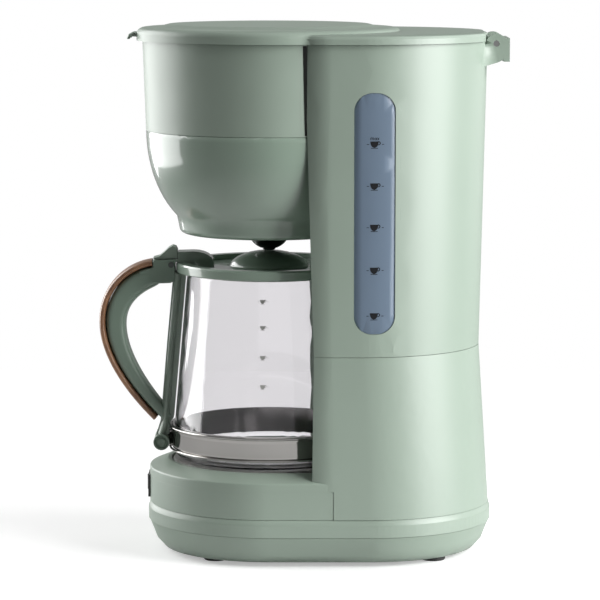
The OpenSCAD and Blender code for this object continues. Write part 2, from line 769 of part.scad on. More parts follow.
module hinge_ears() {
    root_y = tank_rear_y + rim_w - 4;
    rear_y = hinge_y + hinge_ear_r - 1.2;
    low_z = rim_z - 13.3;
    for (side = [-1, 1]) translate([side * (ear_in + ear_t / 2), 0, 0]) {
        translate([0, hinge_y, hinge_z]) rotate([0, 90, 0])
            cylinder(h = ear_t, r = hinge_ear_r, center = true, $fn = 64);
        rotate([90, 0, 90]) linear_extrude(ear_t, center = true)
            polygon([[root_y, low_z - 3], [rear_y - 4, low_z], [rear_y, low_z + 2],
                     [rear_y, hinge_z + 3.6], [hinge_y, hinge_z + 3],
                     [hinge_y - hinge_ear_r + 0.6, hinge_z], [root_y, hinge_z - 1]]);
    }
    // stop plate behind the knuckle
    translate([-(ear_in + ear_t), rear_y - 0.4, low_z + 0.4])
        cube([2 * (ear_in + ear_t), stop_t + 0.4, 15]);
}

// Slot for the level window, through the wall on the +X side
module window_slot(shrink) {
    r = window_w / 2 - shrink;
    z0 = seam_z + window_rise + shrink;
    z1 = seam_z + window_rise + window_h - shrink;
    end_r = window_end_r - shrink;
    translate([rim_w - 12, window_y, 0]) rotate([90, 0, 90]) linear_extrude(14) {
        translate([-r, z0 + end_r]) square([2 * r, z1 - z0 - 2 * end_r]);
        translate([-r + end_r, z0]) square([2 * r - 2 * end_r, z1 - z0]);
        for (y = [-1, 1]) for (z = [z0 + end_r, z1 - end_r])
            translate([y * (r - end_r), z]) circle(r = end_r);
    }
}

module gauge_window() {
    color(water_blue) {
        intersection() {
            window_slot(seat);
            difference() {
                column(seam_w, rim_w, tank_rear_y, tank_rear_y, seam_z, rim_z, inset = 0.5);
                column(seam_w, rim_w, tank_rear_y, tank_rear_y, seam_z - 1, rim_z + 1, inset = wall + 0.4);
            }
        }
        intersection() {
            window_slot(-3);
            difference() {
                column(seam_w, rim_w, tank_rear_y, tank_rear_y, seam_z, rim_z, inset = wall + seat);
                column(seam_w, rim_w, tank_rear_y, tank_rear_y, seam_z - 1, rim_z + 1, inset = wall + 2);
            }
        }
    }
}

// ---- brew basket --------------------------------------------------------

shell_wall = 2.5;
tongue_h = 5;
tongue_r = shell_low_r - shell_wall - seat;

module basket_shell() {
    color(green) difference() {
        at_brew() rotate_extrude() polygon([
            [shell_low_r, shell_z], [shell_rim_r, rim_z],
            [shell_rim_r - shell_wall, rim_z], [shell_low_r - shell_wall, shell_z]]);
        translate([-notch_w, -brew_y, rim_z - notch_h]) cube([2 * notch_w, 2 * shell_rim_r, notch_h + 2]);
    }
}

// Outer profile of the bowl: a quarter ellipse over a step with a rounded foot
function bowl_profile(inset) =
    let (a = 46.5, b = 68, rc = shell_low_r - a, zs = bowl_z + bowl_step_h,
         z_end = shell_z - zs, foot = 3.6)
    concat([for (i = [0:14]) let (dz = z_end * i / 14)
                [rc + a * sqrt(1 - pow(dz / b, 2)) - inset, shell_z - dz]],
           [for (q = [0:15:75]) [bowl_step_r - 1 - foot * 1.4 * (1 - cos(q)) - inset,
                bowl_z + foot - foot * sin(q) + (inset > 0 ? bowl_wall : 0)]],
           [[bowl_step_r - 1 - foot * 1.4 - inset, bowl_z + (inset > 0 ? bowl_wall : 0)]]);

module basket_bowl() {
    outer = bowl_profile(0);
    inner = bowl_profile(bowl_wall);
    color(green) difference() {
        at_brew() {
            rotate_extrude() polygon(concat([[spout_r + 0.4, bowl_z]],
                [for (i = [len(outer) - 1:-1:0]) outer[i] - [0, seam_gap * (i == 0 ? 1 : 0)]],
                [[shell_low_r - shell_wall - seat, shell_z - seam_gap]],
                [for (p = inner) p - [0, p[1] == shell_z ? seam_gap : 0]],
                [[spout_r + 0.4, bowl_z + bowl_wall]]));
            // tongue inside the housing, with the seat for the filter holder
            rotate_extrude() polygon([[tongue_r + 1.2, shell_z - 5],
                [tongue_r + 1.2, shell_z - seam_gap], [tongue_r, shell_z - seam_gap],
                [tongue_r, shell_z + tongue_h], [tongue_r - 3.5, shell_z + tongue_h],
                [tongue_r - 3.5, shell_z + 2], [tongue_r - 1, shell_z - 5]]);
        }
    }
}

holder_floor_z = bowl_z + 10;
holder_seat_z = shell_z + tongue_h + seat;
holder_top_z = rim_z - 20;
outlet_r = 11.6;
mesh_floor_z = holder_floor_z + 8;
mesh_floor_r = holder_floor_r - 11;
mesh_rim_r = holder_rim_r - holder_wall - 2.6;
mesh_top_z = holder_seat_z + 9;
spout_z = bowl_z - spout_drop;

module filter_holder() {
    w = holder_wall;
    color(dark_green) at_brew() {
        rotate_extrude() polygon([
            [outlet_r + seat, bowl_z + 3], [spout_r + 1.6, bowl_z + 3], [spout_r + 1.6, holder_floor_z - w],
            [holder_floor_r, holder_floor_z], [holder_rim_r, holder_seat_z],
            [tongue_r - 0.4, holder_seat_z], [tongue_r - 0.4, holder_seat_z + w],
            [holder_rim_r + 0.2, holder_seat_z + w], [holder_rim_r + 1, holder_top_z],
            [holder_rim_r + 1 - w, holder_top_z], [holder_rim_r - w, holder_seat_z + w],
            [holder_floor_r - w, holder_floor_z + w], [spout_r + 1, holder_floor_z],
            [outlet_r + seat, holder_floor_z - 0.5]]);
        // ribs that keep the filter off the wall
        for (i = [0:holder_ribs - 1]) rotate([0, 0, (i + 0.5) * 360 / holder_ribs])
            rotate([0, 0, -0.9]) rotate_extrude(angle = 1.8) polygon([
                [holder_floor_r - w - 5, holder_floor_z + w - 0.2],
                [holder_floor_r - w + 0.5, holder_floor_z + w - 0.2],
                [holder_rim_r - w + 0.6, holder_seat_z],
                [holder_rim_r - w + 0.6, mesh_top_z - 2 - seat],
                [mesh_rim_r + 0.9, mesh_top_z - 2 - seat], [holder_rim_r - w - 2, holder_seat_z]]);
    }
}

module mesh_frame() {
    color(black) at_brew() {
        rotate_extrude() polygon([[mesh_rim_r - 3, mesh_top_z - 4], [mesh_rim_r, mesh_top_z - 4],
            [mesh_rim_r, mesh_top_z - 2], [mesh_rim_r + 2, mesh_top_z - 2],
            [mesh_rim_r + 2, mesh_top_z], [mesh_rim_r - 3, mesh_top_z]]);
        difference() {
            translate([0, 0, mesh_floor_z - 1]) cylinder(h = 3, r = mesh_floor_r);
            translate([0, 0, mesh_floor_z - 2]) cylinder(h = 5, r = mesh_floor_r - 3);
        }
        // cross bars under the floor
        for (a = [0, 90]) rotate([0, 0, a + 15])
            translate([1 - mesh_floor_r, -1.2, mesh_floor_z - 0.6]) cube([2 * mesh_floor_r - 2, 2.4, 1.4]);
        for (i = [0:5]) rotate([0, 0, i * 60]) {
            rotate([0, 0, -2]) rotate_extrude(angle = 4) polygon([
                [mesh_floor_r - 2.4, mesh_floor_z - 0.8], [mesh_floor_r - 0.2, mesh_floor_z - 0.8],
                [mesh_rim_r - 0.4, mesh_top_z - 3.5], [mesh_rim_r - 2.6, mesh_top_z - 3.5]]);
        }
        // two finger tabs on the rim
        for (side = [-1, 1]) translate([side * (mesh_rim_r - 7) - 6, -7, mesh_top_z - 2.3])
            cube([12, 14, 1.8]);
    }
}

module filter_mesh() {
    color([0.75, 0.68, 0.50]) at_brew() rotate_extrude() polygon([
        [0, mesh_floor_z + 2.1], [mesh_floor_r - 3.2, mesh_floor_z + 2.1],
        [mesh_rim_r - 4.2, mesh_top_z - 3.8], [mesh_rim_r - 4.6, mesh_top_z - 3.8],
        [mesh_floor_r - 3.5, mesh_floor_z + 2.5], [0, mesh_floor_z + 2.5]]);
}

// ---- drip valve ---------------------------------------------------------

chamber_z = spout_z + 6;
plunger_tip_z = dome_top_z + body_gap;
flange_z = chamber_z + 2.6;
flange_t = 1.6;
// The retainer leaves room for the pressed spring and the travel
retainer_z = flange_z + flange_t + valve_travel + 2 * spring_wire_r * spring_turns + 0.7;
chamber_top = retainer_z + 2.4;
pin_r = 2.4;

module drip_outlet() {
    cup = [for (q = [0:10:80])
        [spout_r * cos(q), bowl_z - seam_gap - (spout_drop - seam_gap) * sin(q)]];
    lip_r = stem_r + 1.5;
    color(black) at_brew() difference() {
        rotate_extrude() polygon(concat(
            [[0, spout_z], [lip_r, spout_z]],
            [for (i = [len(cup) - 1:-1:0]) if (cup[i][0] > lip_r) cup[i]],
            [[spout_r, bowl_z + 2.4], [outlet_r, bowl_z + 2.4], [outlet_r, chamber_top],
             [0, chamber_top]]));
        translate([0, 0, spout_z - 1]) cylinder(h = 20, r = stem_r + running_fit, $fn = 48);
        translate([0, 0, chamber_z]) cylinder(h = 30, r = outlet_r - 1.8, $fn = 64);
    }
}

module spring_retainer() {
    color(black) at_brew() translate([0, 0, retainer_z]) difference() {
        cylinder(h = 2, r = outlet_r - 1.8 - seat, $fn = 64);
        translate([0, 0, -1]) cylinder(h = 4, r = pin_r + running_fit, $fn = 32);
        for (a = [0:60:300]) rotate([0, 0, a]) translate([7, 0, -1]) cylinder(h = 4, r = 1.4, $fn = 24);
    }
}

module valve_plunger() {
    color(black) at_brew() {
        translate([0, 0, plunger_tip_z + 0.8]) cylinder(h = flange_z - plunger_tip_z - 0.8 + eps, r = stem_r, $fn = 48);
        translate([0, 0, plunger_tip_z]) cylinder(h = 0.8, r1 = stem_r - 0.8, r2 = stem_r, $fn = 48);
        translate([0, 0, flange_z]) cylinder(h = flange_t, r = 8.2, $fn = 64);
        translate([0, 0, flange_z]) cylinder(h = retainer_z + 2.5 - flange_z, r = pin_r, $fn = 32);
    }
}

module valve_seal() {
    color(silicone) at_brew() translate([0, 0, chamber_z + body_gap]) difference() {
        cylinder(h = flange_z - 0.05 - chamber_z - body_gap, r = 8.8, $fn = 64);
        translate([0, 0, -1]) cylinder(h = 5, r = stem_r + 0.05, $fn = 48);
    }
}

module valve_spring() {
    coil_r = 5.2;
    z0 = flange_z + flange_t + spring_wire_r + running_fit;
    z1 = retainer_z - spring_wire_r - running_fit;
    steps = spring_turns * 14;
    color(steel) at_brew() skin([for (i = [0:steps])
        let (a = 360 * spring_turns * i / steps, out = [cos(a), sin(a), 0],
             c = coil_r * out + [0, 0, z0 + (z1 - z0) * i / steps])
        ring(c, spring_wire_r * out, [0, 0, spring_wire_r], 6)]);
}

// ---- lid ----------------------------------------------------------------

lid_top = lid_z + lid_rim_h;
lid_rear_top = lid_z + lid_rear_h;
lid_cut_y = hinge_y - hinge_ear_r - 0.9;
knuckle_r = 4.2;
spreader_w = 12;
spreader_r = 34;

// Rounded disc of the lid, smaller by the given amount
module lid_disc(inset) {
    r = lid_r - inset;
    top = lid_top - inset;
    e = 5;
    at_brew() rotate_extrude() polygon(concat([[0, lid_z - (inset > 0 ? 1 : 0)], [r, lid_z - (inset > 0 ? 1 : 0)]],
        [for (q = [0:10:90]) [r - e * (1 - cos(q)), top - (e - 0.6) * (1 - sin(q))]],
        [[lid_crown_r + 6, top + 0.4], [lid_crown_r, top + lid_crown],
         [lid_crown_r * 0.6, top + lid_crown], [0, top + lid_crown]]));
}

// Rear part of the lid: a lower plate with a chamfered edge
module lid_rear(inset) {
    w = rim_w + 3.3 - inset;
    z0 = lid_z - (inset > 0 ? 1 : 0);
    top = lid_rear_top - inset;
    module slab(w, z0, z1) {
        column(w, w, tank_rear_y - 1, tank_rear_y - 1, z0, z1);
        translate([-corner_x, corner_y - 2, z0]) cube([2 * corner_x, 40, z1 - z0]);
    }
    difference() {
        union() {
            slab(w, z0, top - 2.5);
            column(w, w - 0.8, tank_rear_y - 1, tank_rear_y - 1, top - 2.5 - eps, top - 1);
            column(w - 0.8, w - 3, tank_rear_y - 1, tank_rear_y - 1, top - 1 - eps, top);
            translate([-corner_x, corner_y - 2, z0]) cube([2 * corner_x, 40, top - z0]);
        }
        translate([-100, lid_cut_y - inset, lid_z - 5]) cube([200, 60, 30]);
    }
}

module lid() {
    knuckle_w = 2 * (ear_in - body_gap);
    color(green) difference() {
        union() {
            difference() {
                union() {
                    lid_disc(0);
                    lid_rear(0);
                }
                lid_disc(lid_wall);
                lid_rear(lid_wall);
            }
            // finger tab
            at_brew() rotate([0, 0, -90 - 8]) rotate_extrude(angle = 16) polygon([
                [lid_r - 2.5, lid_top - 3.6], [lid_r + tab_reach * 0.4, lid_top - 3.2],
                [lid_r + tab_reach * 0.8, lid_top - 4.6], [lid_r + tab_reach, lid_z + 1],
                [lid_r + tab_reach - 1.6, lid_z + 1], [lid_r + tab_reach * 0.6, lid_top - 5.8],
                [lid_r - 2.5, lid_top - 6]]);
            // hinge arm and knuckle
            translate([-knuckle_w / 2, lid_cut_y - 10, lid_z]) cube([knuckle_w, 12, lid_rear_h - 1]);
            translate([-knuckle_w / 2, lid_cut_y - 1, lid_z])
                cube([knuckle_w, hinge_y - lid_cut_y + 1, hinge_z + knuckle_r - lid_z]);
            translate([0, hinge_y, hinge_z]) rotate([0, 90, 0])
                cylinder(h = knuckle_w, r = knuckle_r, center = true, $fn = 64);
            // posts that hold the water spreader
            for (side = [-1, 1]) for (y = [riser_y - 4, riser_y + 6])
                translate([side * (spreader_w - 0.8), y, lid_z]) cylinder(h = lid_rear_h - 1, r = 2.4, $fn = 32);
            for (side = [-1, 1]) for (q = [[spreader_r - 0.8, 0], [spreader_w - 0.8, 42]])
                translate([side * q[0], q[1] - brew_y, lid_z])
                    cylinder(h = lid_rim_h + lid_crown - 1, r = 2.4, $fn = 32);
        }
        translate([0, hinge_y, hinge_z]) rotate([0, 90, 0])
            cylinder(h = 100, r = hinge_pin_r + running_fit, center = true, $fn = 48);
    }
}

module hinge_pin() {
    color(steel) translate([0, hinge_y, hinge_z]) rotate([0, 90, 0])
        cylinder(h = 2 * (ear_in + ear_t) - 1, r = hinge_pin_r, center = true, $fn = 48);
}

module water_spreader() {
    z = lid_z - 7;
    w = spreader_w;
    color(dark_green) difference() {
        union() {
            translate([-w, -brew_y, z]) cube([2 * w, brew_y + riser_y + 9, 6.8]);
            translate([0, riser_y + 9, z]) cylinder(h = 6.8, r = w);
            at_brew() translate([0, 0, z]) cylinder(h = 6.8, r = spreader_r);
        }
        translate([-w + 1.6, -brew_y, z + 1.6]) cube([2 * w - 3.2, brew_y + riser_y + 9, 6]);
        translate([0, riser_y + 9, z + 1.6]) cylinder(h = 6, r = w - 1.6);
        at_brew() translate([0, 0, z + 1.6]) cylinder(h = 6, r = spreader_r - 1.6);
        // inlet over the riser tube
        translate([0, riser_y, z - 1]) cylinder(h = 4, r = riser_r + 2.5, $fn = 48);
        // shower holes
        at_brew() {
            for (a = [0:45:315]) rotate([0, 0, a]) translate([12, 0, z - 1]) cylinder(h = 4, r = 1.3, $fn = 16);
            for (a = [0:24:336]) rotate([0, 0, a]) translate([24, 0, z - 1]) cylinder(h = 4, r = 1.3, $fn = 16);
        }
    }
}

// ---- carafe -------------------------------------------------------------

// Outer profile of the glass from its foot to its rim
function glass_profile(inset) = concat(
    [[glass_low_r - 6 - inset, carafe_z + (inset > 0 ? inset : 0)]],
    [for (q = [-75:15:0]) [glass_low_r - 6 + 6 * cos(q) - inset, carafe_z + 6 + 6 * sin(q) + (inset > 0 ? inset * -sin(q) : 0)]],
    [[glass_low_r - inset, glass_belly_z], [glass_top_r - inset, glass_neck_z],
     [glass_top_r - 1 - inset, glass_neck_z + 3], [glass_top_r - 1.4 - inset, glass_rim_z]]);

module carafe_glass() {
    outer = glass_profile(0);
    inner = glass_profile(glass_t);
    color(clear_glass) at_brew() rotate_extrude() polygon(concat([[0, carafe_z]], outer,
        [for (i = [len(inner) - 1:-1:0]) inner[i]], [[0, carafe_z + glass_t]]));
}

fit_r = glass_top_r - 0.7;

module carafe_collar() {
    color(green) at_brew() difference() {
        union() {
            rotate_extrude() polygon([
                [fit_r, collar_z], [collar_r - 0.6, collar_z], [collar_r, collar_z + 0.6],
                [collar_r, collar_top_z - 1], [collar_r - 1, collar_top_z],
                [fit_r, collar_top_z]]);
            // pouring lip opposite the handle
            translate([0, collar_r - 4, collar_z + 1.2]) intersection() {
                cylinder(h = collar_h - 1.2, r1 = 6, r2 = 12);
                translate([-20, 0, 0]) cube([40, 12, collar_h]);
            }
        }
        translate([0, collar_r - 6, collar_z + 3]) intersection() {
            cylinder(h = collar_h, r1 = 5, r2 = 11.6);
            translate([-20, 0, 0]) cube([40, 12.6, collar_h]);
        }
    }
}

module steel_band() {
    r = glass_low_r + seat;
    ear_gap = 5;
    color(steel) at_brew() difference() {
        union() {
            rotate_extrude() polygon([
                [r, band_z], [band_r - 1.6, band_z], [band_r - 1, band_z + 3.6], [band_r - 1, band_z + 12],
                [band_r, band_z + 13], [band_r, band_z + band_h - 1], [band_r - 1, band_z + band_h],
                [r, band_z + band_h]]);
            // folded ends that the bolt draws together
            for (side = [-1, 1]) translate([side * (ear_gap / 2 + 0.6) - 0.6, -bolt_reach - 3.4, band_z + 1])
                cube([1.2, bolt_reach - r + 2, 10]);
        }
        translate([-ear_gap / 2, -band_r - 4, band_z - 1]) cube([ear_gap, 6, band_h + 2]);
        translate([0, -bolt_reach, bolt_z]) rotate([0, 90, 0]) cylinder(h = 30, r = bolt_r + 0.1, center = true, $fn = 32);
    }
}

bolt_r = 2;
bolt_z = carafe_z + 10.7;
bolt_reach = band_r + 5.3;
spine_w = 14;
// Outer edge of the spine half way up
grip_foot_out = glass_top_r + 13;

module band_bolt() {
    color(dark_green) translate([0, -brew_y - bolt_reach, bolt_z]) rotate([0, 90, 0]) {
        cylinder(h = 2 * 10.4, r = bolt_r, center = true, $fn = 32);
        for (side = [0, 1]) mirror([0, 0, side]) translate([0, 0, 10.3]) {
            difference() {
                cylinder(h = 2.6, r = 5.2, $fn = 48);
                translate([0, 0, 2]) difference() {
                    cylinder(h = 1, r = 4, $fn = 48);
                    translate([0, 0, -1]) cylinder(h = 3, r = 2.6, $fn = 48);
                }
            }
        }
    }
}

// ---- handle -------------------------------------------------------------

// Point at distance out from the carafe's axis and height z, in the plane X = 0
function side_point(out, z) = [0, -brew_y - out, z];

// Back edge of the handle in the plane X = 0, as two joined curves
head_z = collar_top_z + 2.1;
grip_mid_z = collar_top_z - 38.5;
grip_top = [side_point(collar_r + 11.5, head_z), side_point(grip_reach - 18.8, head_z - 0.6),
    side_point(grip_reach, head_z - 16.6), side_point(grip_reach, grip_mid_z)];
grip_low = [side_point(grip_reach, grip_mid_z), side_point(grip_reach, grip_mid_z - 25),
    side_point(grip_reach - 19.8, band_z + 32.9), side_point(bolt_reach + 1.2, band_z + 14.4)];
grip_steps = 14;

// Point, slope and thickness share at s, which runs from 0 at the top to 2
function grip_point(s) = s < 1 ? cubic(grip_top, s) : cubic(grip_low, s - 1);
function grip_dir(s) = s < 1 ? cubic_dir(grip_top, s) : cubic_dir(grip_low, s - 1);
function grip_in(s) = let (t = grip_dir(s)) [0, -t[2], t[1]];
function grip_t(s) = grip_top_t + (grip_foot_t - grip_top_t) * s / 2
    + grip_swell * sin(180 * pow(s / 2, 0.6));
function grip_span(s) = grip_w * (1 - 0.18 * pow(s - 1, 2)) / 2;

// Ring between two depths below the back edge; power rounds its corners
function grip_ring(s, d0, d1, sides) = let (n = grip_in(s), c = grip_point(s) + n * (d0 + d1) / 2,
        hn = (d1 - d0) / 2, hb = grip_span(s))
    [for (i = [0:sides - 1]) let (a = 360 * (i + 0.5) / sides, p = 0.55,
        u = sign(cos(a)) * pow(abs(cos(a)), p), v = sign(sin(a)) * pow(abs(sin(a)), p))
        c + n * hn * u + [hb * v, 0, 0]];

module handle() {
    color(dark_green) difference() {
        union() {
            skin([for (i = [0:2 * grip_steps]) let (s = i / grip_steps)
                grip_ring(s, inlay_t + seat, grip_t(s), 20)]);
            // head that reaches over to the collar
            rotate([90, 0, 90]) linear_extrude(grip_w - 3, center = true) translate([-brew_y, head_z])
                polygon([for (q = [[24, -7.7], [20.4, -6.5], [15.2, -5.2], [15.2, -0.7], [4.5, -0.2],
                    [0.3, -0.2], [0.3, -13.8], [3.5, -15.5], [11.5, -15.8], [18, -15.6], [24, -15]])
                        [-collar_r - q[0], q[1]]]);
        }
        // room for the lid's knuckle
        translate([-fairing_w / 2 - 0.4, lid_pin_y - 7, lid_pin_z - 4.7]) cube([fairing_w + 0.8, 12, 12]);
        translate([0, lid_pin_y, lid_pin_z]) rotate([0, 90, 0])
            cylinder(h = 60, r = lid_pin_r, center = true, $fn = 32);
        // the grip ends against the spine
        spine_form(2 * seat);
    }
}

module handle_inlay() {
    color(wood) skin([for (i = [1:2 * grip_steps - 1]) let (s = i / grip_steps)
        grip_ring(s, 0, inlay_t, 20)]);
}

// Spine along the glass, grown by the given amount
module spine_form(grow) {
    inner = [[glass_top_r + 2 * seat, collar_z - seat + grow], [glass_low_r + 3 * seat, glass_belly_z + 5],
        [band_r + 2 * seat, band_z + band_h + 0.6], [band_r + 2 * seat, bolt_z + 5], [bolt_reach, bolt_z]];
    outer = [[bolt_reach + 5 + grow, bolt_z], [bolt_reach + 0.6 + grow, band_z + 18],
        [grip_foot_out + grow, glass_belly_z + 53], [collar_r + 1.6 + grow, collar_z - seat + grow]];
    rotate([90, 0, 90]) linear_extrude(spine_w + 2 * grow, center = true) translate([-brew_y, 0])
        polygon([for (q = concat(inner, outer)) [-q[0], q[1]]]);
}

module handle_spine() {
    color(green) difference() {
        union() {
            difference() {
                spine_form(0);
                at_brew() cylinder(h = rim_z, r = band_r + seat);
            }
            intersection() {
                spine_form(0);
                translate([-spine_w, -2 * grip_reach, band_z + band_h + 0.5])
                    cube([2 * spine_w, 2 * grip_reach, carafe_h]);
            }
            translate([0, -brew_y - bolt_reach, bolt_z]) rotate([0, 90, 0])
                cylinder(h = 2 * 10.2, r = 5.2, center = true, $fn = 48);
        }
        // slot for the band's folded ends
        translate([-4, -brew_y - bolt_reach - 3.8, band_z - 10]) cube([8, 20, 24]);
        translate([0, -brew_y - bolt_reach, bolt_z]) rotate([0, 90, 0])
            cylinder(h = 40, r = bolt_r + 0.05, center = true, $fn = 32);
    }
}

// ---- carafe lid ---------------------------------------------------------

lid_pin_y = -brew_y - collar_r - 3;
lid_pin_z = collar_top_z - 1.3;
// Width of the fairing and of the lever on it
fairing_w = 14;
plate_low_z = glass_rim_z + seat;

// Half ellipse of the dome, smaller by the given amount
module dome_form(inset) {
    at_brew() rotate_extrude() polygon(concat([[0, plate_low_z]],
        [[dome_r - inset, plate_low_z]],
        [for (q = [0:10:80]) [(dome_r - inset) * cos(q), dome_z + (dome_h - inset) * sin(q)]],
        [[0, dome_top_z - inset]]));
}

module carafe_lid() {
    plug_r = glass_top_r - 5.5;
    color(green) difference() {
        union() {
            // plate inside the collar, with the rim that plugs the glass
            at_brew() {
                translate([0, 0, plate_low_z]) cylinder(h = 1.3, r = fit_r - body_gap);
                translate([0, 0, collar_z - 2]) cylinder(h = plate_low_z - collar_z + 2.4, r = plug_r);
            }
            dome_form(0);
            // fairing over the collar, back to the hinge
            rotate([90, 0, 90]) linear_extrude(fairing_w, center = true)
                translate([-brew_y, collar_top_z]) polygon([for (q = concat(
                    [[collar_r + 3, -3.3], [collar_r + 3, 1.9], [collar_r - 1.3, 2.4], [collar_r - 1.3, 6.9]],
                    [for (a = [90:-15:0]) [glass_top_r - 4.6 - 13 * cos(a), 7.2 * sin(a)]],
                    [[glass_top_r - 18, -3.2], [fit_r - 0.5, -3.2], [fit_r - 0.5, seat],
                     [collar_r + 0.3, seat], [collar_r + 0.3, -3.3]])) [-q[0], q[1]]]);
            translate([0, lid_pin_y, lid_pin_z]) rotate([0, 90, 0])
                cylinder(h = fairing_w, r = 2.7, center = true, $fn = 48);
        }
        // hollow under the plate and the dome
        at_brew() translate([0, 0, collar_z - 3]) cylinder(h = plate_low_z - collar_z + 3, r = plug_r - 2);
        translate([0, 0, -eps]) dome_form(2);
        // funnel hole in the middle of the dome
        at_brew() cylinder(h = rim_z, r = 3);
        translate([0, lid_pin_y, lid_pin_z]) rotate([0, 90, 0])
            cylinder(h = 60, r = lid_pin_r + running_fit, center = true, $fn = 32);
    }
}

module lid_lever() {
    color(green) rotate([90, 0, 90]) linear_extrude(fairing_w - 1, center = true)
        translate([-brew_y, collar_top_z]) polygon([for (q = [[-1, 2.8], [-1, 7.9], [0.1, 9.9],
            [2.2, 10.6], [4.7, 9.3], [7.7, 6.4], [10.7, 3.9], [14.8, 2.8], [14.8, 2.4], [5.5, 2.4],
            [3.3, 2.5]]) [-collar_r - q[0], q[1]]]);
}

module carafe_lid_pin() {
    shank = grip_w - 2.6;
    color(steel) translate([0, lid_pin_y, lid_pin_z]) rotate([0, 90, 0]) {
        cylinder(h = shank, r = lid_pin_r, center = true, $fn = 32);
        for (side = [0, 1]) mirror([0, 0, side]) translate([0, 0, shank / 2 - 0.1])
            cylinder(h = 0.7, r = lid_pin_r + 0.3, $fn = 32);
    }
}

base_pan();
feet();
base_screws();
base_skirt();
base_housing();
hotplate();
plate_seal();
heating_element();
flow_tube();
element_clamp();
clamp_screw();
thermostat();
check_valve();
inlet_hose();
riser_hose();
riser_tube();
lower_body();
cord_bushing();
tank_shell();
gauge_window();
basket_shell();
basket_bowl();
filter_holder();
mesh_frame();
filter_mesh();
drip_outlet();
spring_retainer();
valve_plunger();
valve_seal();
valve_spring();
lid();
water_spreader();
hinge_pin();
switch_bezel();
rocker_switch();
carafe_glass();
carafe_collar();
steel_band();
band_bolt();
handle();
handle_inlay();
handle_spine();
carafe_lid();
lid_lever();
carafe_lid_pin();
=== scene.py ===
"""Looks of a drip coffee maker with a glass carafe, laid out as a Blender add-on."""

import json
import math

import bmesh
import bpy
import numpy as np
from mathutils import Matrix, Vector

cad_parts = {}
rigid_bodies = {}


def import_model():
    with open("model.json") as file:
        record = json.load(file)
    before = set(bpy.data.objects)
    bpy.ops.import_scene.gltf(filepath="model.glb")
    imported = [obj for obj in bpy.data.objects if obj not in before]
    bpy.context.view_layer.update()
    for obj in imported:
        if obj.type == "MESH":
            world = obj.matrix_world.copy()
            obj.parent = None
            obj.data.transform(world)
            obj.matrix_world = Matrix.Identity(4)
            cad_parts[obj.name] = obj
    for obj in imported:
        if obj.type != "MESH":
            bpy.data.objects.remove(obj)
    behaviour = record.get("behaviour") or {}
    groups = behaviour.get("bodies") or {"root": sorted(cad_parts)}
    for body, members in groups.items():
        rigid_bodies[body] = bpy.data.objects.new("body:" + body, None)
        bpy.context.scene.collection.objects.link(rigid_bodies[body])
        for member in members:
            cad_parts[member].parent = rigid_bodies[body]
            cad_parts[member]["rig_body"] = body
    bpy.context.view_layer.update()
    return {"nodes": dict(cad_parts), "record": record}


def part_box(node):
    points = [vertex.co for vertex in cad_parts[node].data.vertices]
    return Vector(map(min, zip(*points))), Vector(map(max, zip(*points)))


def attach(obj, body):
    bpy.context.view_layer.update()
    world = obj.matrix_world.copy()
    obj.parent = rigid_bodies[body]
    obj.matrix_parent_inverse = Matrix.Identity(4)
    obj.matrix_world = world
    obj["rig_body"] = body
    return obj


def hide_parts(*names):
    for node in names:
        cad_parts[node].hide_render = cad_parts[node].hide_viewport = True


bl_info = {
    "name": "Drip coffee maker looks",
    "version": (1, 0, 0),
    "blender": (4, 5, 0),
    "location": "3D View > Sidebar > Coffee maker",
    "description": "Builds the visible skins, finishes, lights and camera of a drip coffee maker",
    "category": "Add Mesh",
}

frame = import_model()
NODES = frame["nodes"]
MM = 0.001

# Heights and radii of the construction, in millimetres
BREW_Y = -22.0
HOUSING_R = 78.3
DECK_Z, PLATE_Z = 55.5, 60.0
SEAM_Z, RIM_Z = 136.0, 332.3
SHELL_Z, BOWL_Z = 274.8, 207.6


# ---- meshes from arrays ---------------------------------------------------


def place_mesh(name, verts, faces, body, material, smooth=35.0, replaced=()):
    """Makes one piece from vertex and face arrays, in millimetres.

    Edges whose faces meet at more than `smooth` degrees stay sharp."""
    mesh = bpy.data.meshes.new(name)
    mesh.from_pydata((np.asarray(verts, float) * MM).tolist(), [], np.asarray(faces).tolist()
                     if isinstance(faces, np.ndarray) else faces)
    mesh.validate(clean_customdata=False)
    mesh.polygons.foreach_set("use_smooth", np.ones(len(mesh.polygons), bool))
    mesh.set_sharp_from_angle(angle=math.radians(smooth))
    mesh.materials.append(material)
    obj = bpy.data.objects.new(name, mesh)
    bpy.context.scene.collection.objects.link(obj)
    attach(obj, body)
    if replaced:
        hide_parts(*replaced)
    return obj


def grid_faces(nu, nv, closed_u, closed_v):
    """Quads of a grid whose point (i, j) has the number i * nv + j, wrapped where it is closed."""
    i = np.arange(nu if closed_u else nu - 1)
    j = np.arange(nv if closed_v else nv - 1)
    i, j = np.meshgrid(i, j, indexing="ij")
    i, j = i.ravel(), j.ravel()
    i2, j2 = (i + 1) % nu, (j + 1) % nv
    return np.stack([i * nv + j, i2 * nv + j, i2 * nv + j2, i * nv + j2], 1)


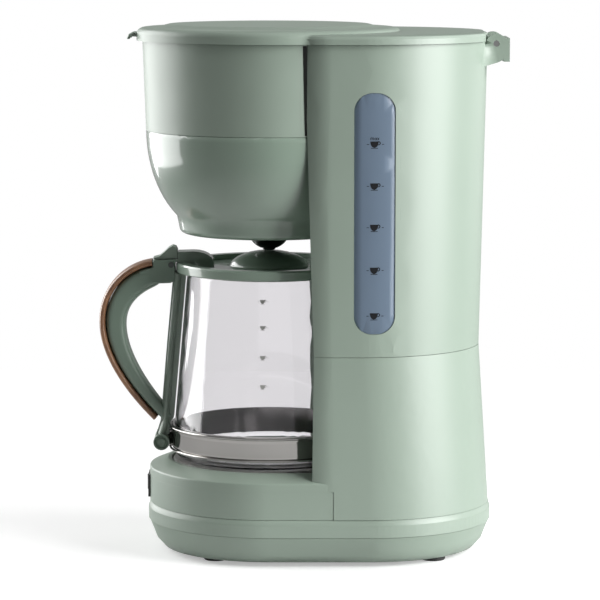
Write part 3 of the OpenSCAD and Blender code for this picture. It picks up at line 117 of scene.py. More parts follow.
def rounded(points, radii, steps=6):
    """Polyline whose corners become arcs.

    At each corner the two neighbouring edges are left at the distance r / tan(half the angle)
    and joined by a circular arc of radius r that touches both."""
    pts = np.asarray(points, float)
    out = []
    for k, (p, r) in enumerate(zip(pts, radii)):
        if r <= 0 or k in (0, len(pts) - 1):
            out.append(p[None])
            continue
        a, b = pts[k - 1] - p, pts[k + 1] - p
        la, lb = np.linalg.norm(a), np.linalg.norm(b)
        a, b = a / la, b / lb
        half = math.acos(float(np.clip(a @ b, -1, 1))) / 2
        cut = min(r / math.tan(half), 0.49 * la, 0.49 * lb)
        rr = cut * math.tan(half)
        c = p + (a + b) / np.linalg.norm(a + b) * (rr / math.sin(half))
        s, e = p + a * cut - c, p + b * cut - c
        t = np.linspace(0, 1, steps + 1)[:, None]
        w = math.pi - 2 * half
        out.append(c + (np.sin((1 - t) * w) * s + np.sin(t * w) * e) / math.sin(w))
    return np.concatenate(out)


def turned(profile, segments=128, y=BREW_Y, x=0.0):
    """Surface of revolution: the profile point (r, z) at the angle u lies at
    (x + r cos u, y + r sin u, z). The profile is closed, and each point on the axis is one vertex."""
    prof = np.asarray(profile, float)
    u = np.linspace(0, 2 * math.pi, segments, endpoint=False)[:, None]
    r, z = prof[None, :, 0], prof[None, :, 1]
    grid = np.stack([x + r * np.cos(u), y + r * np.sin(u), z + 0 * u], 2)
    return grid.reshape(-1, 3), grid_faces(segments, len(prof), True, True)


def merged(obj):
    """Joins the doubled points of a turned piece's poles and drops the faces that closed up."""
    bm = bmesh.new()
    bm.from_mesh(obj.data)
    bmesh.ops.remove_doubles(bm, verts=bm.verts, dist=1e-6)
    bmesh.ops.dissolve_degenerate(bm, edges=bm.edges, dist=1e-7)
    bmesh.ops.recalc_face_normals(bm, faces=bm.faces)
    bm.to_mesh(obj.data)
    bm.free()
    obj.data.set_sharp_from_angle(angle=math.radians(obj.get("sharp", 35.0)))
    return obj


def turned_piece(name, profile, body, material, segments=128, smooth=35.0, replaced=(), y=BREW_Y):
    """A closed piece of revolution round the vertical line through (0, y)."""
    v, f = turned(profile, segments, y)
    obj = place_mesh(name, v, f, body, material, smooth, replaced)
    obj["sharp"] = smooth
    return merged(obj)


def smooth_skin(node, name, material, smooth=28.0):
    """Copy of a node with its points joined and its curved faces shaded smooth, at the node's own shape."""
    src = NODES[node]
    mesh = src.data.copy()
    mesh.name = name
    obj = bpy.data.objects.new(name, mesh)
    bpy.context.scene.collection.objects.link(obj)
    bm = bmesh.new()
    bm.from_mesh(mesh)
    bmesh.ops.remove_doubles(bm, verts=bm.verts, dist=2e-6)
    bm.to_mesh(mesh)
    bm.free()
    mesh.polygons.foreach_set("use_smooth", np.ones(len(mesh.polygons), bool))
    mesh.set_sharp_from_angle(angle=math.radians(smooth))
    mesh.materials.clear()
    mesh.materials.append(material)
    mod = obj.modifiers.new("even shading", "WEIGHTED_NORMAL")
    mod.keep_sharp = True
    mod.weight = 80
    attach(obj, src["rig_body"])
    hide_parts(node)
    return obj


# ---- materials -------------------------------------------------------------


def new_group(name, inputs, outputs):
    """Empty shader group with named sockets."""
    g = bpy.data.node_groups.new(name, "ShaderNodeTree")
    for label, kind, value in inputs:
        s = g.interface.new_socket(label, in_out="INPUT", socket_type=kind)
        s.default_value = value
    for label, kind in outputs:
        g.interface.new_socket(label, in_out="OUTPUT", socket_type=kind)
    return g, g.nodes.new("NodeGroupInput"), g.nodes.new("NodeGroupOutput")


def moulded_group():
    """Fine moulded surface: a cloudy tint, a roughness that varies with it, and a shallow grain."""
    g, gin, gout = new_group("moulded_surface", [
        ("Colour", "NodeSocketColor", (0.5, 0.5, 0.5, 1)), ("Roughness", "NodeSocketFloat", 0.4),
        ("Grain size", "NodeSocketFloat", 1800.0), ("Grain depth", "NodeSocketFloat", 0.05)],
        [("Colour", "NodeSocketColor"), ("Roughness", "NodeSocketFloat"), ("Normal", "NodeSocketVector")])
    n, l = g.nodes, g.links
    co = n.new("ShaderNodeTexCoord")
    cloud = n.new("ShaderNodeTexNoise")
    cloud.inputs["Scale"].default_value = 22.0
    cloud.inputs["Detail"].default_value = 4.0
    l.new(co.outputs["Object"], cloud.inputs["Vector"])
    grain = n.new("ShaderNodeTexNoise")
    grain.inputs["Detail"].default_value = 2.0
    l.new(co.outputs["Object"], grain.inputs["Vector"])
    l.new(gin.outputs["Grain size"], grain.inputs["Scale"])
    tint = n.new("ShaderNodeMapRange")
    tint.inputs["To Min"].default_value = 0.97
    tint.inputs["To Max"].default_value = 1.03
    l.new(cloud.outputs["Fac"], tint.inputs["Value"])
    mul = n.new("ShaderNodeVectorMath")
    mul.operation = "SCALE"
    l.new(gin.outputs["Colour"], mul.inputs[0])
    l.new(tint.outputs["Result"], mul.inputs["Scale"])
    l.new(mul.outputs["Vector"], gout.inputs["Colour"])
    rough = n.new("ShaderNodeMapRange")
    rough.inputs["To Min"].default_value = -0.03
    rough.inputs["To Max"].default_value = 0.03
    l.new(cloud.outputs["Fac"], rough.inputs["Value"])
    add = n.new("ShaderNodeMath")
    add.operation = "ADD"
    l.new(gin.outputs["Roughness"], add.inputs[0])
    l.new(rough.outputs["Result"], add.inputs[1])
    l.new(add.outputs[0], gout.inputs["Roughness"])
    bump = n.new("ShaderNodeBump")
    bump.inputs["Distance"].default_value = 0.00004
    l.new(gin.outputs["Grain depth"], bump.inputs["Strength"])
    l.new(grain.outputs["Fac"], bump.inputs["Height"])
    l.new(bump.outputs["Normal"], gout.inputs["Normal"])
    return g


def metal_group():
    """Drawn metal: faint rings round the upright axis in the roughness, with soft smears."""
    g, gin, gout = new_group("drawn_metal", [
        ("Roughness", "NodeSocketFloat", 0.2), ("Line size", "NodeSocketFloat", 900.0),
        ("Line depth", "NodeSocketFloat", 0.1)],
        [("Roughness", "NodeSocketFloat"), ("Normal", "NodeSocketVector")])
    n, l = g.nodes, g.links
    co = n.new("ShaderNodeTexCoord")
    stretch = n.new("ShaderNodeMapping")
    stretch.inputs["Scale"].default_value = (0.02, 0.02, 1.0)
    l.new(co.outputs["Object"], stretch.inputs["Vector"])
    lines = n.new("ShaderNodeTexNoise")
    l.new(stretch.outputs["Vector"], lines.inputs["Vector"])
    l.new(gin.outputs["Line size"], lines.inputs["Scale"])
    spread = n.new("ShaderNodeMapRange")
    spread.inputs["To Min"].default_value = -0.04
    spread.inputs["To Max"].default_value = 0.05
    l.new(lines.outputs["Fac"], spread.inputs["Value"])
    add = n.new("ShaderNodeMath")
    add.operation = "ADD"
    l.new(gin.outputs["Roughness"], add.inputs[0])
    l.new(spread.outputs["Result"], add.inputs[1])
    l.new(add.outputs[0], gout.inputs["Roughness"])
    bump = n.new("ShaderNodeBump")
    bump.inputs["Distance"].default_value = 0.00003
    l.new(gin.outputs["Line depth"], bump.inputs["Strength"])
    l.new(lines.outputs["Fac"], bump.inputs["Height"])
    l.new(bump.outputs["Normal"], gout.inputs["Normal"])
    return g


def base_material(name):
    """Material with its Principled shader, and the two handed back."""
    mat = bpy.data.materials.new(name)
    mat.use_nodes = True
    return mat, mat.node_tree.nodes["Principled BSDF"]


def plastic(name, colour, roughness, grain=0.05, size=1800.0, coat=0.0, coat_rough=0.1, level=0.5):
    """Moulded plastic with a faint grain and an optional clear gloss."""
    mat, p = base_material(name)
    g = mat.node_tree.nodes.new("ShaderNodeGroup")
    g.node_tree = bpy.data.node_groups["moulded_surface"]
    g.inputs["Colour"].default_value = (*colour, 1)
    g.inputs["Roughness"].default_value = roughness
    g.inputs["Grain size"].default_value = size
    g.inputs["Grain depth"].default_value = grain
    l = mat.node_tree.links
    l.new(g.outputs["Colour"], p.inputs["Base Color"])
    l.new(g.outputs["Roughness"], p.inputs["Roughness"])
    l.new(g.outputs["Normal"], p.inputs["Normal"])
    p.inputs["Coat Weight"].default_value = coat
    p.inputs["Coat Roughness"].default_value = coat_rough
    p.inputs["Specular IOR Level"].default_value = level
    mat.diffuse_color = (*colour, 1)
    return mat


def metal(name, colour, roughness, depth=0.1, size=900.0):
    """Polished or plain metal with fine drawn lines."""
    mat, p = base_material(name)
    g = mat.node_tree.nodes.new("ShaderNodeGroup")
    g.node_tree = bpy.data.node_groups["drawn_metal"]
    g.inputs["Roughness"].default_value = roughness
    g.inputs["Line size"].default_value = size
    g.inputs["Line depth"].default_value = depth
    l = mat.node_tree.links
    l.new(g.outputs["Roughness"], p.inputs["Roughness"])
    l.new(g.outputs["Normal"], p.inputs["Normal"])
    p.inputs["Base Color"].default_value = (*colour, 1)
    p.inputs["Metallic"].default_value = 1.0
    mat.diffuse_color = (*colour, 1)
    return mat


def clear_glass(name, colour, roughness=0.0, ior=1.47, weight=1.0):
    """Clear glass or smoked plastic with faint waves in its surface."""
    mat, p = base_material(name)
    p.inputs["Base Color"].default_value = (*colour, 1)
    p.inputs["Transmission Weight"].default_value = weight
    p.inputs["IOR"].default_value = ior
    n, l = mat.node_tree.nodes, mat.node_tree.links
    co = n.new("ShaderNodeTexCoord")
    noise = n.new("ShaderNodeTexNoise")
    noise.inputs["Scale"].default_value = 30.0
    l.new(co.outputs["Object"], noise.inputs["Vector"])
    rough = n.new("ShaderNodeMapRange")
    rough.inputs["To Min"].default_value = roughness
    rough.inputs["To Max"].default_value = roughness + 0.02
    l.new(noise.outputs["Fac"], rough.inputs["Value"])
    l.new(rough.outputs["Result"], p.inputs["Roughness"])
    return mat


def wood_strip(name, dark, light):
    """Oiled wood: long grain along the strip with darker pores, under a thin gloss."""
    mat, p = base_material(name)
    n, l = mat.node_tree.nodes, mat.node_tree.links
    co = n.new("ShaderNodeTexCoord")
    warp = n.new("ShaderNodeMapping")
    warp.inputs["Scale"].default_value = (9.0, 1.0, 1.0)
    l.new(co.outputs["Object"], warp.inputs["Vector"])
    grain = n.new("ShaderNodeTexNoise")
    grain.inputs["Scale"].default_value = 70.0
    grain.inputs["Detail"].default_value = 6.0
    grain.inputs["Roughness"].default_value = 0.65
    l.new(warp.outputs["Vector"], grain.inputs["Vector"])
    ramp = n.new("ShaderNodeValToRGB")
    ramp.color_ramp.elements[0].position = 0.35
    ramp.color_ramp.elements[0].color = (*dark, 1)
    ramp.color_ramp.elements[1].position = 0.68
    ramp.color_ramp.elements[1].color = (*light, 1)
    l.new(grain.outputs["Fac"], ramp.inputs["Fac"])
    l.new(ramp.outputs["Color"], p.inputs["Base Color"])
    bump = n.new("ShaderNodeBump")
    bump.inputs["Distance"].default_value = 0.0001
    bump.inputs["Strength"].default_value = 0.25
    l.new(grain.outputs["Fac"], bump.inputs["Height"])
    l.new(bump.outputs["Normal"], p.inputs["Normal"])
    p.inputs["Roughness"].default_value = 0.38
    p.inputs["Coat Weight"].default_value = 0.35
    p.inputs["Coat Roughness"].default_value = 0.15
    return mat


def make_materials(c):
    """All finishes of the machine, by name."""
    moulded_group()
    metal_group()
    sage, gloss, deep = tuple(c.sage), tuple(c.gloss), tuple(c.deep)
    return {
        "green_matte": plastic("sage satin", sage, 0.40, grain=0.16, size=2600.0, level=0.7),
        "green_gloss": plastic("sage gloss", gloss, 0.34, grain=0.02, coat=1.0, coat_rough=0.09),
        "green_dark": plastic("deep sage satin", deep, 0.38, grain=0.10, size=2600.0, level=0.7),
        "black_plastic": plastic("black plastic", (0.005, 0.006, 0.005), 0.13, grain=0.02),
        "rubber_black": plastic("black rubber", (0.02, 0.02, 0.02), 0.75, grain=0.3),
        "silicone": plastic("milky silicone", (0.62, 0.62, 0.58), 0.5, grain=0.1),
        "steel_polished": metal("polished steel", (0.40, 0.39, 0.375), 0.10, 0.10),
        "steel_plain": metal("plain steel", (0.52, 0.52, 0.52), 0.3, 0.2),
        "aluminium": metal("cast aluminium", (0.62, 0.62, 0.62), 0.45, 0.5, 300.0),
        "ceramic": plastic("thermostat body", (0.7, 0.67, 0.6), 0.5),
        "plate_coat": plastic("plate coating", (0.20, 0.205, 0.18), 0.32, grain=0.3, size=1200.0, level=0.8),
        "tube_white": plastic("natural plastic", (0.7, 0.7, 0.68), 0.4),
        "window": clear_glass("smoked window", tuple(c.window), 0.32, 1.45, 0.25),
        "glass": clear_glass("clear glass", (0.865, 0.855, 0.87), 0.0, 1.47, 1.0),
        "wood": wood_strip("oiled wood", tuple(c.wood_dark), tuple(c.wood_light)),
        "mesh": metal("fine mesh", (0.6, 0.52, 0.36), 0.4, 1.0, 2500.0),
        "pin": metal("burnished pin", (0.09, 0.10, 0.095), 0.35),
        "mark": plastic("printed mark", (0.008, 0.009, 0.011), 0.6, level=0.2),
        "mark_pale": plastic("printed mark on glass", (0.42, 0.42, 0.40), 0.5),
    }


MATERIALS = {}


# ---- settings ---------------------------------------------------------------


def colour(label, value):
    """A colour property with its default."""
    return bpy.props.FloatVectorProperty(name=label, description=label + " of the mouldings", subtype="COLOR",
                                         size=3, default=value, min=0.0, max=1.0)


class CoffeeColours(bpy.types.PropertyGroup):
    """Colours of the machine."""
    sage: colour("Satin green", (0.29, 0.36, 0.30))
    gloss: colour("Gloss green", (0.25, 0.33, 0.265))
    deep: colour("Deep green", (0.19, 0.26, 0.205))
    window: colour("Window tint", (0.185, 0.25, 0.335))
    wood_dark: colour("Dark wood grain", (0.19, 0.085, 0.042))
    wood_light: colour("Light wood grain", (0.42, 0.225, 0.12))


class CoffeeSizes(bpy.types.PropertyGroup):
    """Sizes of what is drawn on the frame."""
    edge: bpy.props.FloatProperty(name="Edge", description="Rounding of moulded edges", default=0.0007,
                                  unit="LENGTH")
    distance: bpy.props.FloatProperty(name="Camera distance",
                                      description="Distance of the camera from the middle",
                                      default=2.017, unit="LENGTH")
    eye: bpy.props.FloatProperty(name="Camera height", description="Height of the camera", default=0.410,
                                 unit="LENGTH")
    lens: bpy.props.FloatProperty(name="Lens", description="Focal length in millimetres", default=186.6)


# ---- pieces -----------------------------------------------------------------


class COFFEE_OT_finishes(bpy.types.Operator):
    """Make the materials and give one to every node of the frame"""
    bl_idname = "coffee.finishes"
    bl_label = "Finishes"

    def execute(self, context):
        MATERIALS.update(make_materials(context.scene.coffee_colours))
        for s in frame["record"]["subparts"]:
            obj = NODES[s["node"]]
            for k in range(max(1, len(obj.material_slots))):
                if not obj.material_slots:
                    obj.data.materials.append(MATERIALS[s["material_slot"]])
                else:
                    obj.material_slots[k].material = MATERIALS[s["material_slot"]]
        return {"FINISHED"}


def seen_directly(nodes, links):
    """Mask of 1 for rays from the eye and rays that pass through glass, and 0 for all light."""
    path = nodes.new("ShaderNodeLightPath")
    see = nodes.new("ShaderNodeMath")
    see.operation = "MAXIMUM"
    links.new(path.outputs["Is Camera Ray"], see.inputs[0])
    links.new(path.outputs["Is Transmission Ray"], see.inputs[1])
    return see.outputs[0]


class COFFEE_OT_stage(bpy.types.Operator):
    """Make the floor, the lamps, the world and the camera"""
    bl_idname = "coffee.stage"
    bl_label = "Stage"

    def execute(self, context):
        s = context.scene.coffee_sizes
        # floor: pale, and lit up for the eye so that it fades to white away from the machine
        mesh = bpy.data.meshes.new("floor")
        k = 0.8
        mesh.from_pydata([(-k, -k, 0), (k, -k, 0), (k, k, 0), (-k, k, 0)], [], [(0, 1, 2, 3)])
        floor = bpy.data.objects.new("floor", mesh)
        context.scene.collection.objects.link(floor)
        mat, p = base_material("pale floor")
        p.inputs["Roughness"].default_value = 0.9
        p.inputs["Specular IOR Level"].default_value = 0.1
        n, l = mat.node_tree.nodes, mat.node_tree.links
        seen = seen_directly(n, l)
        co = n.new("ShaderNodeTexCoord")
        far = n.new("ShaderNodeVectorMath")
        far.operation = "LENGTH"
        l.new(co.outputs["Object"], far.inputs[0])
        table = n.new("ShaderNodeMapRange")
        table.inputs["From Min"].default_value = 0.20
        table.inputs["From Max"].default_value = 0.55
        table.inputs["To Min"].default_value = 0.72
        table.inputs["To Max"].default_value = 0.15
        l.new(far.outputs["Value"], table.inputs["Value"])
        fade = n.new("ShaderNodeMapRange")
        fade.interpolation_type = "SMOOTHSTEP"
        fade.inputs["From Min"].default_value = 0.15
        fade.inputs["From Max"].default_value = 0.42
        l.new(far.outputs["Value"], fade.inputs["Value"])
        shown = n.new("ShaderNodeMapRange")
        shown.inputs["To Min"].default_value = 0.80
        shown.inputs["To Max"].default_value = 0.0
        l.new(fade.outputs["Result"], shown.inputs["Value"])
        tone = n.new("ShaderNodeMix")
        l.new(seen, tone.inputs["Factor"])
        l.new(table.outputs["Result"], tone.inputs[2])
        l.new(shown.outputs["Result"], tone.inputs[3])
        l.new(tone.outputs[0], p.inputs["Base Color"])
        glow = n.new("ShaderNodeEmission")
        shine = n.new("ShaderNodeMapRange")
        shine.inputs["To Min"].default_value = 0.38
        shine.inputs["To Max"].default_value = 1.0
        l.new(fade.outputs["Result"], shine.inputs["Value"])
        lift = n.new("ShaderNodeMath")
        lift.operation = "MULTIPLY"
        path = n.new("ShaderNodeLightPath")
        half = n.new("ShaderNodeMath")
        half.operation = "MULTIPLY"
        half.inputs[1].default_value = 0.22
        l.new(path.outputs["Is Glossy Ray"], half.inputs[0])
        some = n.new("ShaderNodeMath")
        some.operation = "MAXIMUM"
        l.new(seen, some.inputs[0])
        l.new(half.outputs[0], some.inputs[1])
        l.new(shine.outputs["Result"], lift.inputs[1])
        l.new(some.outputs[0], lift.inputs[0])
        l.new(lift.outputs[0], glow.inputs["Strength"])
        both = n.new("ShaderNodeAddShader")
        l.new(p.outputs[0], both.inputs[0])
        l.new(glow.outputs[0], both.inputs[1])
        l.new(both.outputs[0], n["Material Output"].inputs["Surface"])
        mesh.materials.append(mat)
        # world: plain white to the eye and through glass, grey in gloss, faint as light
        world = bpy.data.worlds.new("studio")
        context.scene.world = world
        world.use_nodes = True
        n, l = world.node_tree.nodes, world.node_tree.links
        bg = n["Background"]
        bg.inputs["Color"].default_value = (1, 1, 1, 1)
        level = n.new("ShaderNodeMapRange")
        level.inputs["To Min"].default_value = 0.03
        level.inputs["To Max"].default_value = 1.0
        l.new(seen_directly(n, l), level.inputs["Value"])
        path = n.new("ShaderNodeLightPath")
        gloss = n.new("ShaderNodeMath")
        gloss.operation = "MULTIPLY"
        gloss.inputs[1].default_value = 0.30
        l.new(path.outputs["Is Glossy Ray"], gloss.inputs[0])
        most = n.new("ShaderNodeMath")
        most.operation = "MAXIMUM"
        l.new(gloss.outputs[0], most.inputs[0])
        l.new(level.outputs["Result"], most.inputs[1])
        l.new(most.outputs[0], bg.inputs["Strength"])

        def lamp(name, azimuth, elevation, distance, size, power, aim=0.17, seen=True):
            """Area lamp; azimuth 0 is the camera's side and 90 the machine's rear."""
            a, e = math.radians(azimuth), math.radians(elevation)
            d = Vector((math.cos(a) * math.cos(e), math.sin(a) * math.cos(e), math.sin(e)))
            data = bpy.data.lights.new(name, "AREA")
            data.shape = "RECTANGLE"
            data.size, data.size_y = size
            data.energy = power
            obj = bpy.data.objects.new(name, data)
            context.scene.collection.objects.link(obj)
            obj.location = Vector((0, 0, aim)) + d * distance
            obj.rotation_mode = "QUATERNION"
            obj.rotation_quaternion = d.to_track_quat("Z", "Y")
            obj.visible_glossy = seen

        lamp("key softbox", 66, 16, 1.8, (1.3, 1.6), 64)
        lamp("rim softbox", -119, 10, 1.8, (2.0, 2.2), 64)
        lamp("rear softbox", 130, 18, 1.8, (1.2, 1.6), 6)
        lamp("top softbox", 0, 80, 1.8, (1.2, 1.6), 4)

        cam = bpy.data.cameras.new("camera")
        cam.lens = s.lens
        cam.sensor_width = 36.0
        cam.clip_end = 30.0
        obj = bpy.data.objects.new("camera", cam)
        context.scene.collection.objects.link(obj)
        pitch = math.radians(6.98)
        obj.location = (s.distance, -0.0018, s.eye)
        back = Vector((math.cos(pitch), 0, math.sin(pitch)))
        obj.rotation_mode = "QUATERNION"
        obj.rotation_quaternion = back.to_track_quat("Z", "Y")
        context.scene.camera = obj
        context.scene.view_settings.view_transform = "Standard"
        return {"FINISHED"}


class COFFEE_OT_skins(bpy.types.Operator):
    """Give the mouldings of the frame evenly shaded skins"""
    bl_idname = "coffee.skins"
    bl_label = "Body skins"

    def execute(self, context):
        slots = {s["node"]: s["material_slot"] for s in frame["record"]["subparts"]}
        for node in ("tank_shell", "lower_body", "basket_shell", "basket_bowl", "lid", "base_housing",
                     "base_skirt", "base_pan", "carafe_glass", "carafe_collar", "carafe_lid",
                     "steel_band", "hotplate", "handle_spine", "gauge_window", "drip_outlet",
                     "band_bolt", "lid_lever", "valve_plunger", "cord_bushing", "feet",
                     "switch_bezel", "rocker_switch"):
            smooth_skin(node, node + "_skin", MATERIALS[slots[node]])
        NODES["carafe_lid_pin"].material_slots[0].material = MATERIALS["pin"]
        return {"FINISHED"}


# Back edge of the grip in the plane x = 0, as two joined cubic curves of (y, z)
GRIP_TOP = ((-94.0, 190.6), (-114.0, 190.0), (-132.8, 174.0), (-132.8, 150.0))
GRIP_LOW = ((-132.8, 150.0), (-132.8, 125.0), (-113.0, 99.0), (-93.5, 80.5))


def grip_line(s):
    """Points and unit slopes of the back edge for s from 0 to 2.

    Each half is the cubic (1-t)^3 A + 3 (1-t)^2 t B + 3 (1-t) t^2 C + t^3 D."""
    t = np.where(s < 1, s, s - 1)[:, None]
    c = np.where((s < 1)[:, None, None], np.array(GRIP_TOP)[None], np.array(GRIP_LOW)[None])
    point = (1 - t) ** 3 * c[:, 0] + 3 * (1 - t) ** 2 * t * c[:, 1] \
        + 3 * (1 - t) * t ** 2 * c[:, 2] + t ** 3 * c[:, 3]
    slope = (1 - t) ** 2 * (c[:, 1] - c[:, 0]) + 2 * (1 - t) * t * (c[:, 2] - c[:, 1]) \
        + t ** 2 * (c[:, 3] - c[:, 2])
    return point, slope / np.linalg.norm(slope, axis=1)[:, None]


def grip_surface(s, depth0, depth1, power, around=72, width=21.0, caps=True):
    """Bar along the back edge between two depths below it.

    The cross section at s is the superellipse |a|^(2/p) + |b|^(2/p) = 1, stretched to the depth
    range along the inward normal and to the grip's width along x."""
    point, slope = grip_line(s)
    normal = np.stack([-slope[:, 1], slope[:, 0]], 1)
    d0, d1 = np.broadcast_to(depth0, s.shape), np.broadcast_to(depth1, s.shape)
    centre = point + normal * ((d0 + d1) / 2)[:, None]
    half_n, half_x = (d1 - d0) / 2, width * (1 - 0.18 * (s - 1) ** 2) / 2
    a = 2 * math.pi * (np.arange(around) + 0.5) / around
    u = np.sign(np.cos(a)) * np.abs(np.cos(a)) ** power
    v = np.sign(np.sin(a)) * np.abs(np.sin(a)) ** power
    yz = centre[:, None, :] + normal[:, None, :] * (half_n[:, None] * u[None])[:, :, None]
    x = half_x[:, None] * v[None]
    grid = np.concatenate([x[:, :, None], yz], 2)
    faces = grid_faces(len(s), around, False, True).tolist()
    if caps:
        faces.append(list(range(around))[::-1])
        faces.append([(len(s) - 1) * around + k for k in range(around)])
    return grid.reshape(-1, 3), faces


def outward(obj):
    """Turns all faces of a closed piece outwards."""
    bm = bmesh.new()
    bm.from_mesh(obj.data)
    bmesh.ops.remove_doubles(bm, verts=bm.verts, dist=1e-6)
    bmesh.ops.recalc_face_normals(bm, faces=bm.faces)
    bm.to_mesh(obj.data)
    bm.free()
    return obj


def bevel(obj, width, segments=3, angle=35.0):
    """Rounds the piece's sharp edges by a width in millimetres."""
    m = obj.modifiers.new("rounded edges", "BEVEL")
    m.width = width * MM
    m.segments = segments
    m.limit_method = "ANGLE"
    m.angle_limit = math.radians(angle)
    m.harden_normals = True
    return obj


def prism(name, outline, x0, x1, body, material, edge=0.8, replaced=()):
    """The closed outline of (y, z) points, carried along x from x0 to x1, with rounded edges."""
    o = np.asarray(outline, float)
    n = len(o)
    verts = np.concatenate([np.column_stack([np.full(n, x0), o]), np.column_stack([np.full(n, x1), o])])
    k = np.arange(n)
    faces = np.stack([k, (k + 1) % n, (k + 1) % n + n, k + n], 1).tolist()
    faces += [k[::-1].tolist(), (k + n).tolist()]
    obj = outward(place_mesh(name, verts, faces, body, material, 30.0, replaced))
    return bevel(obj, edge) if edge else obj


def yoke(r, rear, n=72, m=6):
    """Plan of the deck: a half circle of radius r round the brewing axis with straight sides
    that run back to y = rear. r may be an array: one open path for each value."""
    r = np.atleast_1d(np.asarray(r, float))[:, None]
    a = np.linspace(math.pi, 2 * math.pi, n)[None]
    side = np.linspace(0, 1, m)[None]
    left = np.stack([-r + 0 * side, rear + (BREW_Y - rear) * side + 0 * r], 2)
    front = np.stack([r * np.cos(a), BREW_Y + r * np.sin(a)], 2)
    right = np.stack([r + 0 * side, BREW_Y + (rear - BREW_Y) * side + 0 * r], 2)
    return np.concatenate([left[:, :-1], front, right[:, 1:]], 1)


class COFFEE_OT_deck(bpy.types.Operator):
    """Lay the sloping deck round the plate, and the beads of the steel band"""
    bl_idname = "coffee.deck"
    bl_label = "Deck and beads"

    def execute(self, context):
        # the closed profile (r, z) runs along yoke(r), and its two ends are closed by one face each
        r0 = HOUSING_R
        prof = rounded([(r0, DECK_Z - 6.2), (r0, DECK_Z - 0.4), (66.4, PLATE_Z - 0.1),
                        (63.7, PLATE_Z - 0.1), (63.7, DECK_Z - 0.5), (70.0, DECK_Z - 2.5),
                        (r0 - 1.2, DECK_Z - 6.2), (r0, DECK_Z - 6.2)],
                       [0, 1.3, 1.0, 0.7, 0, 0, 0, 0])[:-1]
        plan = yoke(prof[:, 0], 17.6)
        z = np.broadcast_to(prof[:, 1][:, None, None], plan.shape[:2] + (1,))
        grid = np.concatenate([plan, z], 2)
        rows, cols = plan.shape[:2]
        faces = grid_faces(rows, cols, True, False).tolist()
        faces += [[i * cols for i in range(rows)], [i * cols + cols - 1 for i in range(rows)]]
        merged(place_mesh("deck_slope", grid.reshape(-1, 3), faces, "machine", MATERIALS["green_matte"],
                          30.0))
        # the outlet's bowl: r = 13 sqrt(1 - (d / 10.9) ** 2) at the depth d under the basket
        d = np.linspace(0, 9.7, 15)
        bowl = np.stack([13.0 * np.sqrt(1 - (d / 10.9) ** 2), BOWL_Z - d], 1)
        turned_piece("outlet_bowl", np.concatenate([bowl, [(5.2, BOWL_Z - 9.7), (5.2, BOWL_Z)]]), "machine",
                     MATERIALS["black_plastic"], 96, 40.0)
        # a dark strip on each side stands in as painted shade in the gap between the basket and the column
        for side, name in ((1, "basket_gap_shade_a"), (-1, "basket_gap_shade_b")):
            v = np.linspace(0, 1, 9)[:, None]
            w = np.array([0, 0.33, 0.67, 1.0, 1.0, 0.67, 0.33, 0.0])[None]
            out = np.array([0.22, 0.22, 0.22, 0.22, -0.6, -0.6, -0.6, -0.6])[None]
            z = SHELL_Z + 0.8 + (RIM_Z - SHELL_Z - 1.4) * v
            r = 79.6 + 2.1 * (z - SHELL_Z) / (RIM_Z - SHELL_Z) + out
            y = (1.3 - 1.2 * v) * (1 - w) + 2.5 * w
            x = side * np.sqrt(r ** 2 - (y - BREW_Y) ** 2)
            grid = np.stack([x, y, z + 0 * w], 2)
            faces = grid_faces(9, 8, False, True).tolist() + [list(range(8)), [64 + i for i in range(8)]]
            merged(place_mesh(name, grid.reshape(-1, 3), faces, "machine", MATERIALS["black_plastic"],
                              40.0))
        # a bead is a ring whose section is a circle of radius q
        for name, r, z, q in (("band_bead_upper", 64.75, 81.4, 0.95), ("band_bead_lower", 64.85, 67.1, 0.7)):
            t = np.linspace(0, 2 * math.pi, 17)[:-1]
            turned_piece(name, np.stack([r + q * np.cos(t), z + q * np.sin(t)], 1), "carafe",
                         MATERIALS["steel_polished"], 160, 60.0)
        return {"FINISHED"}


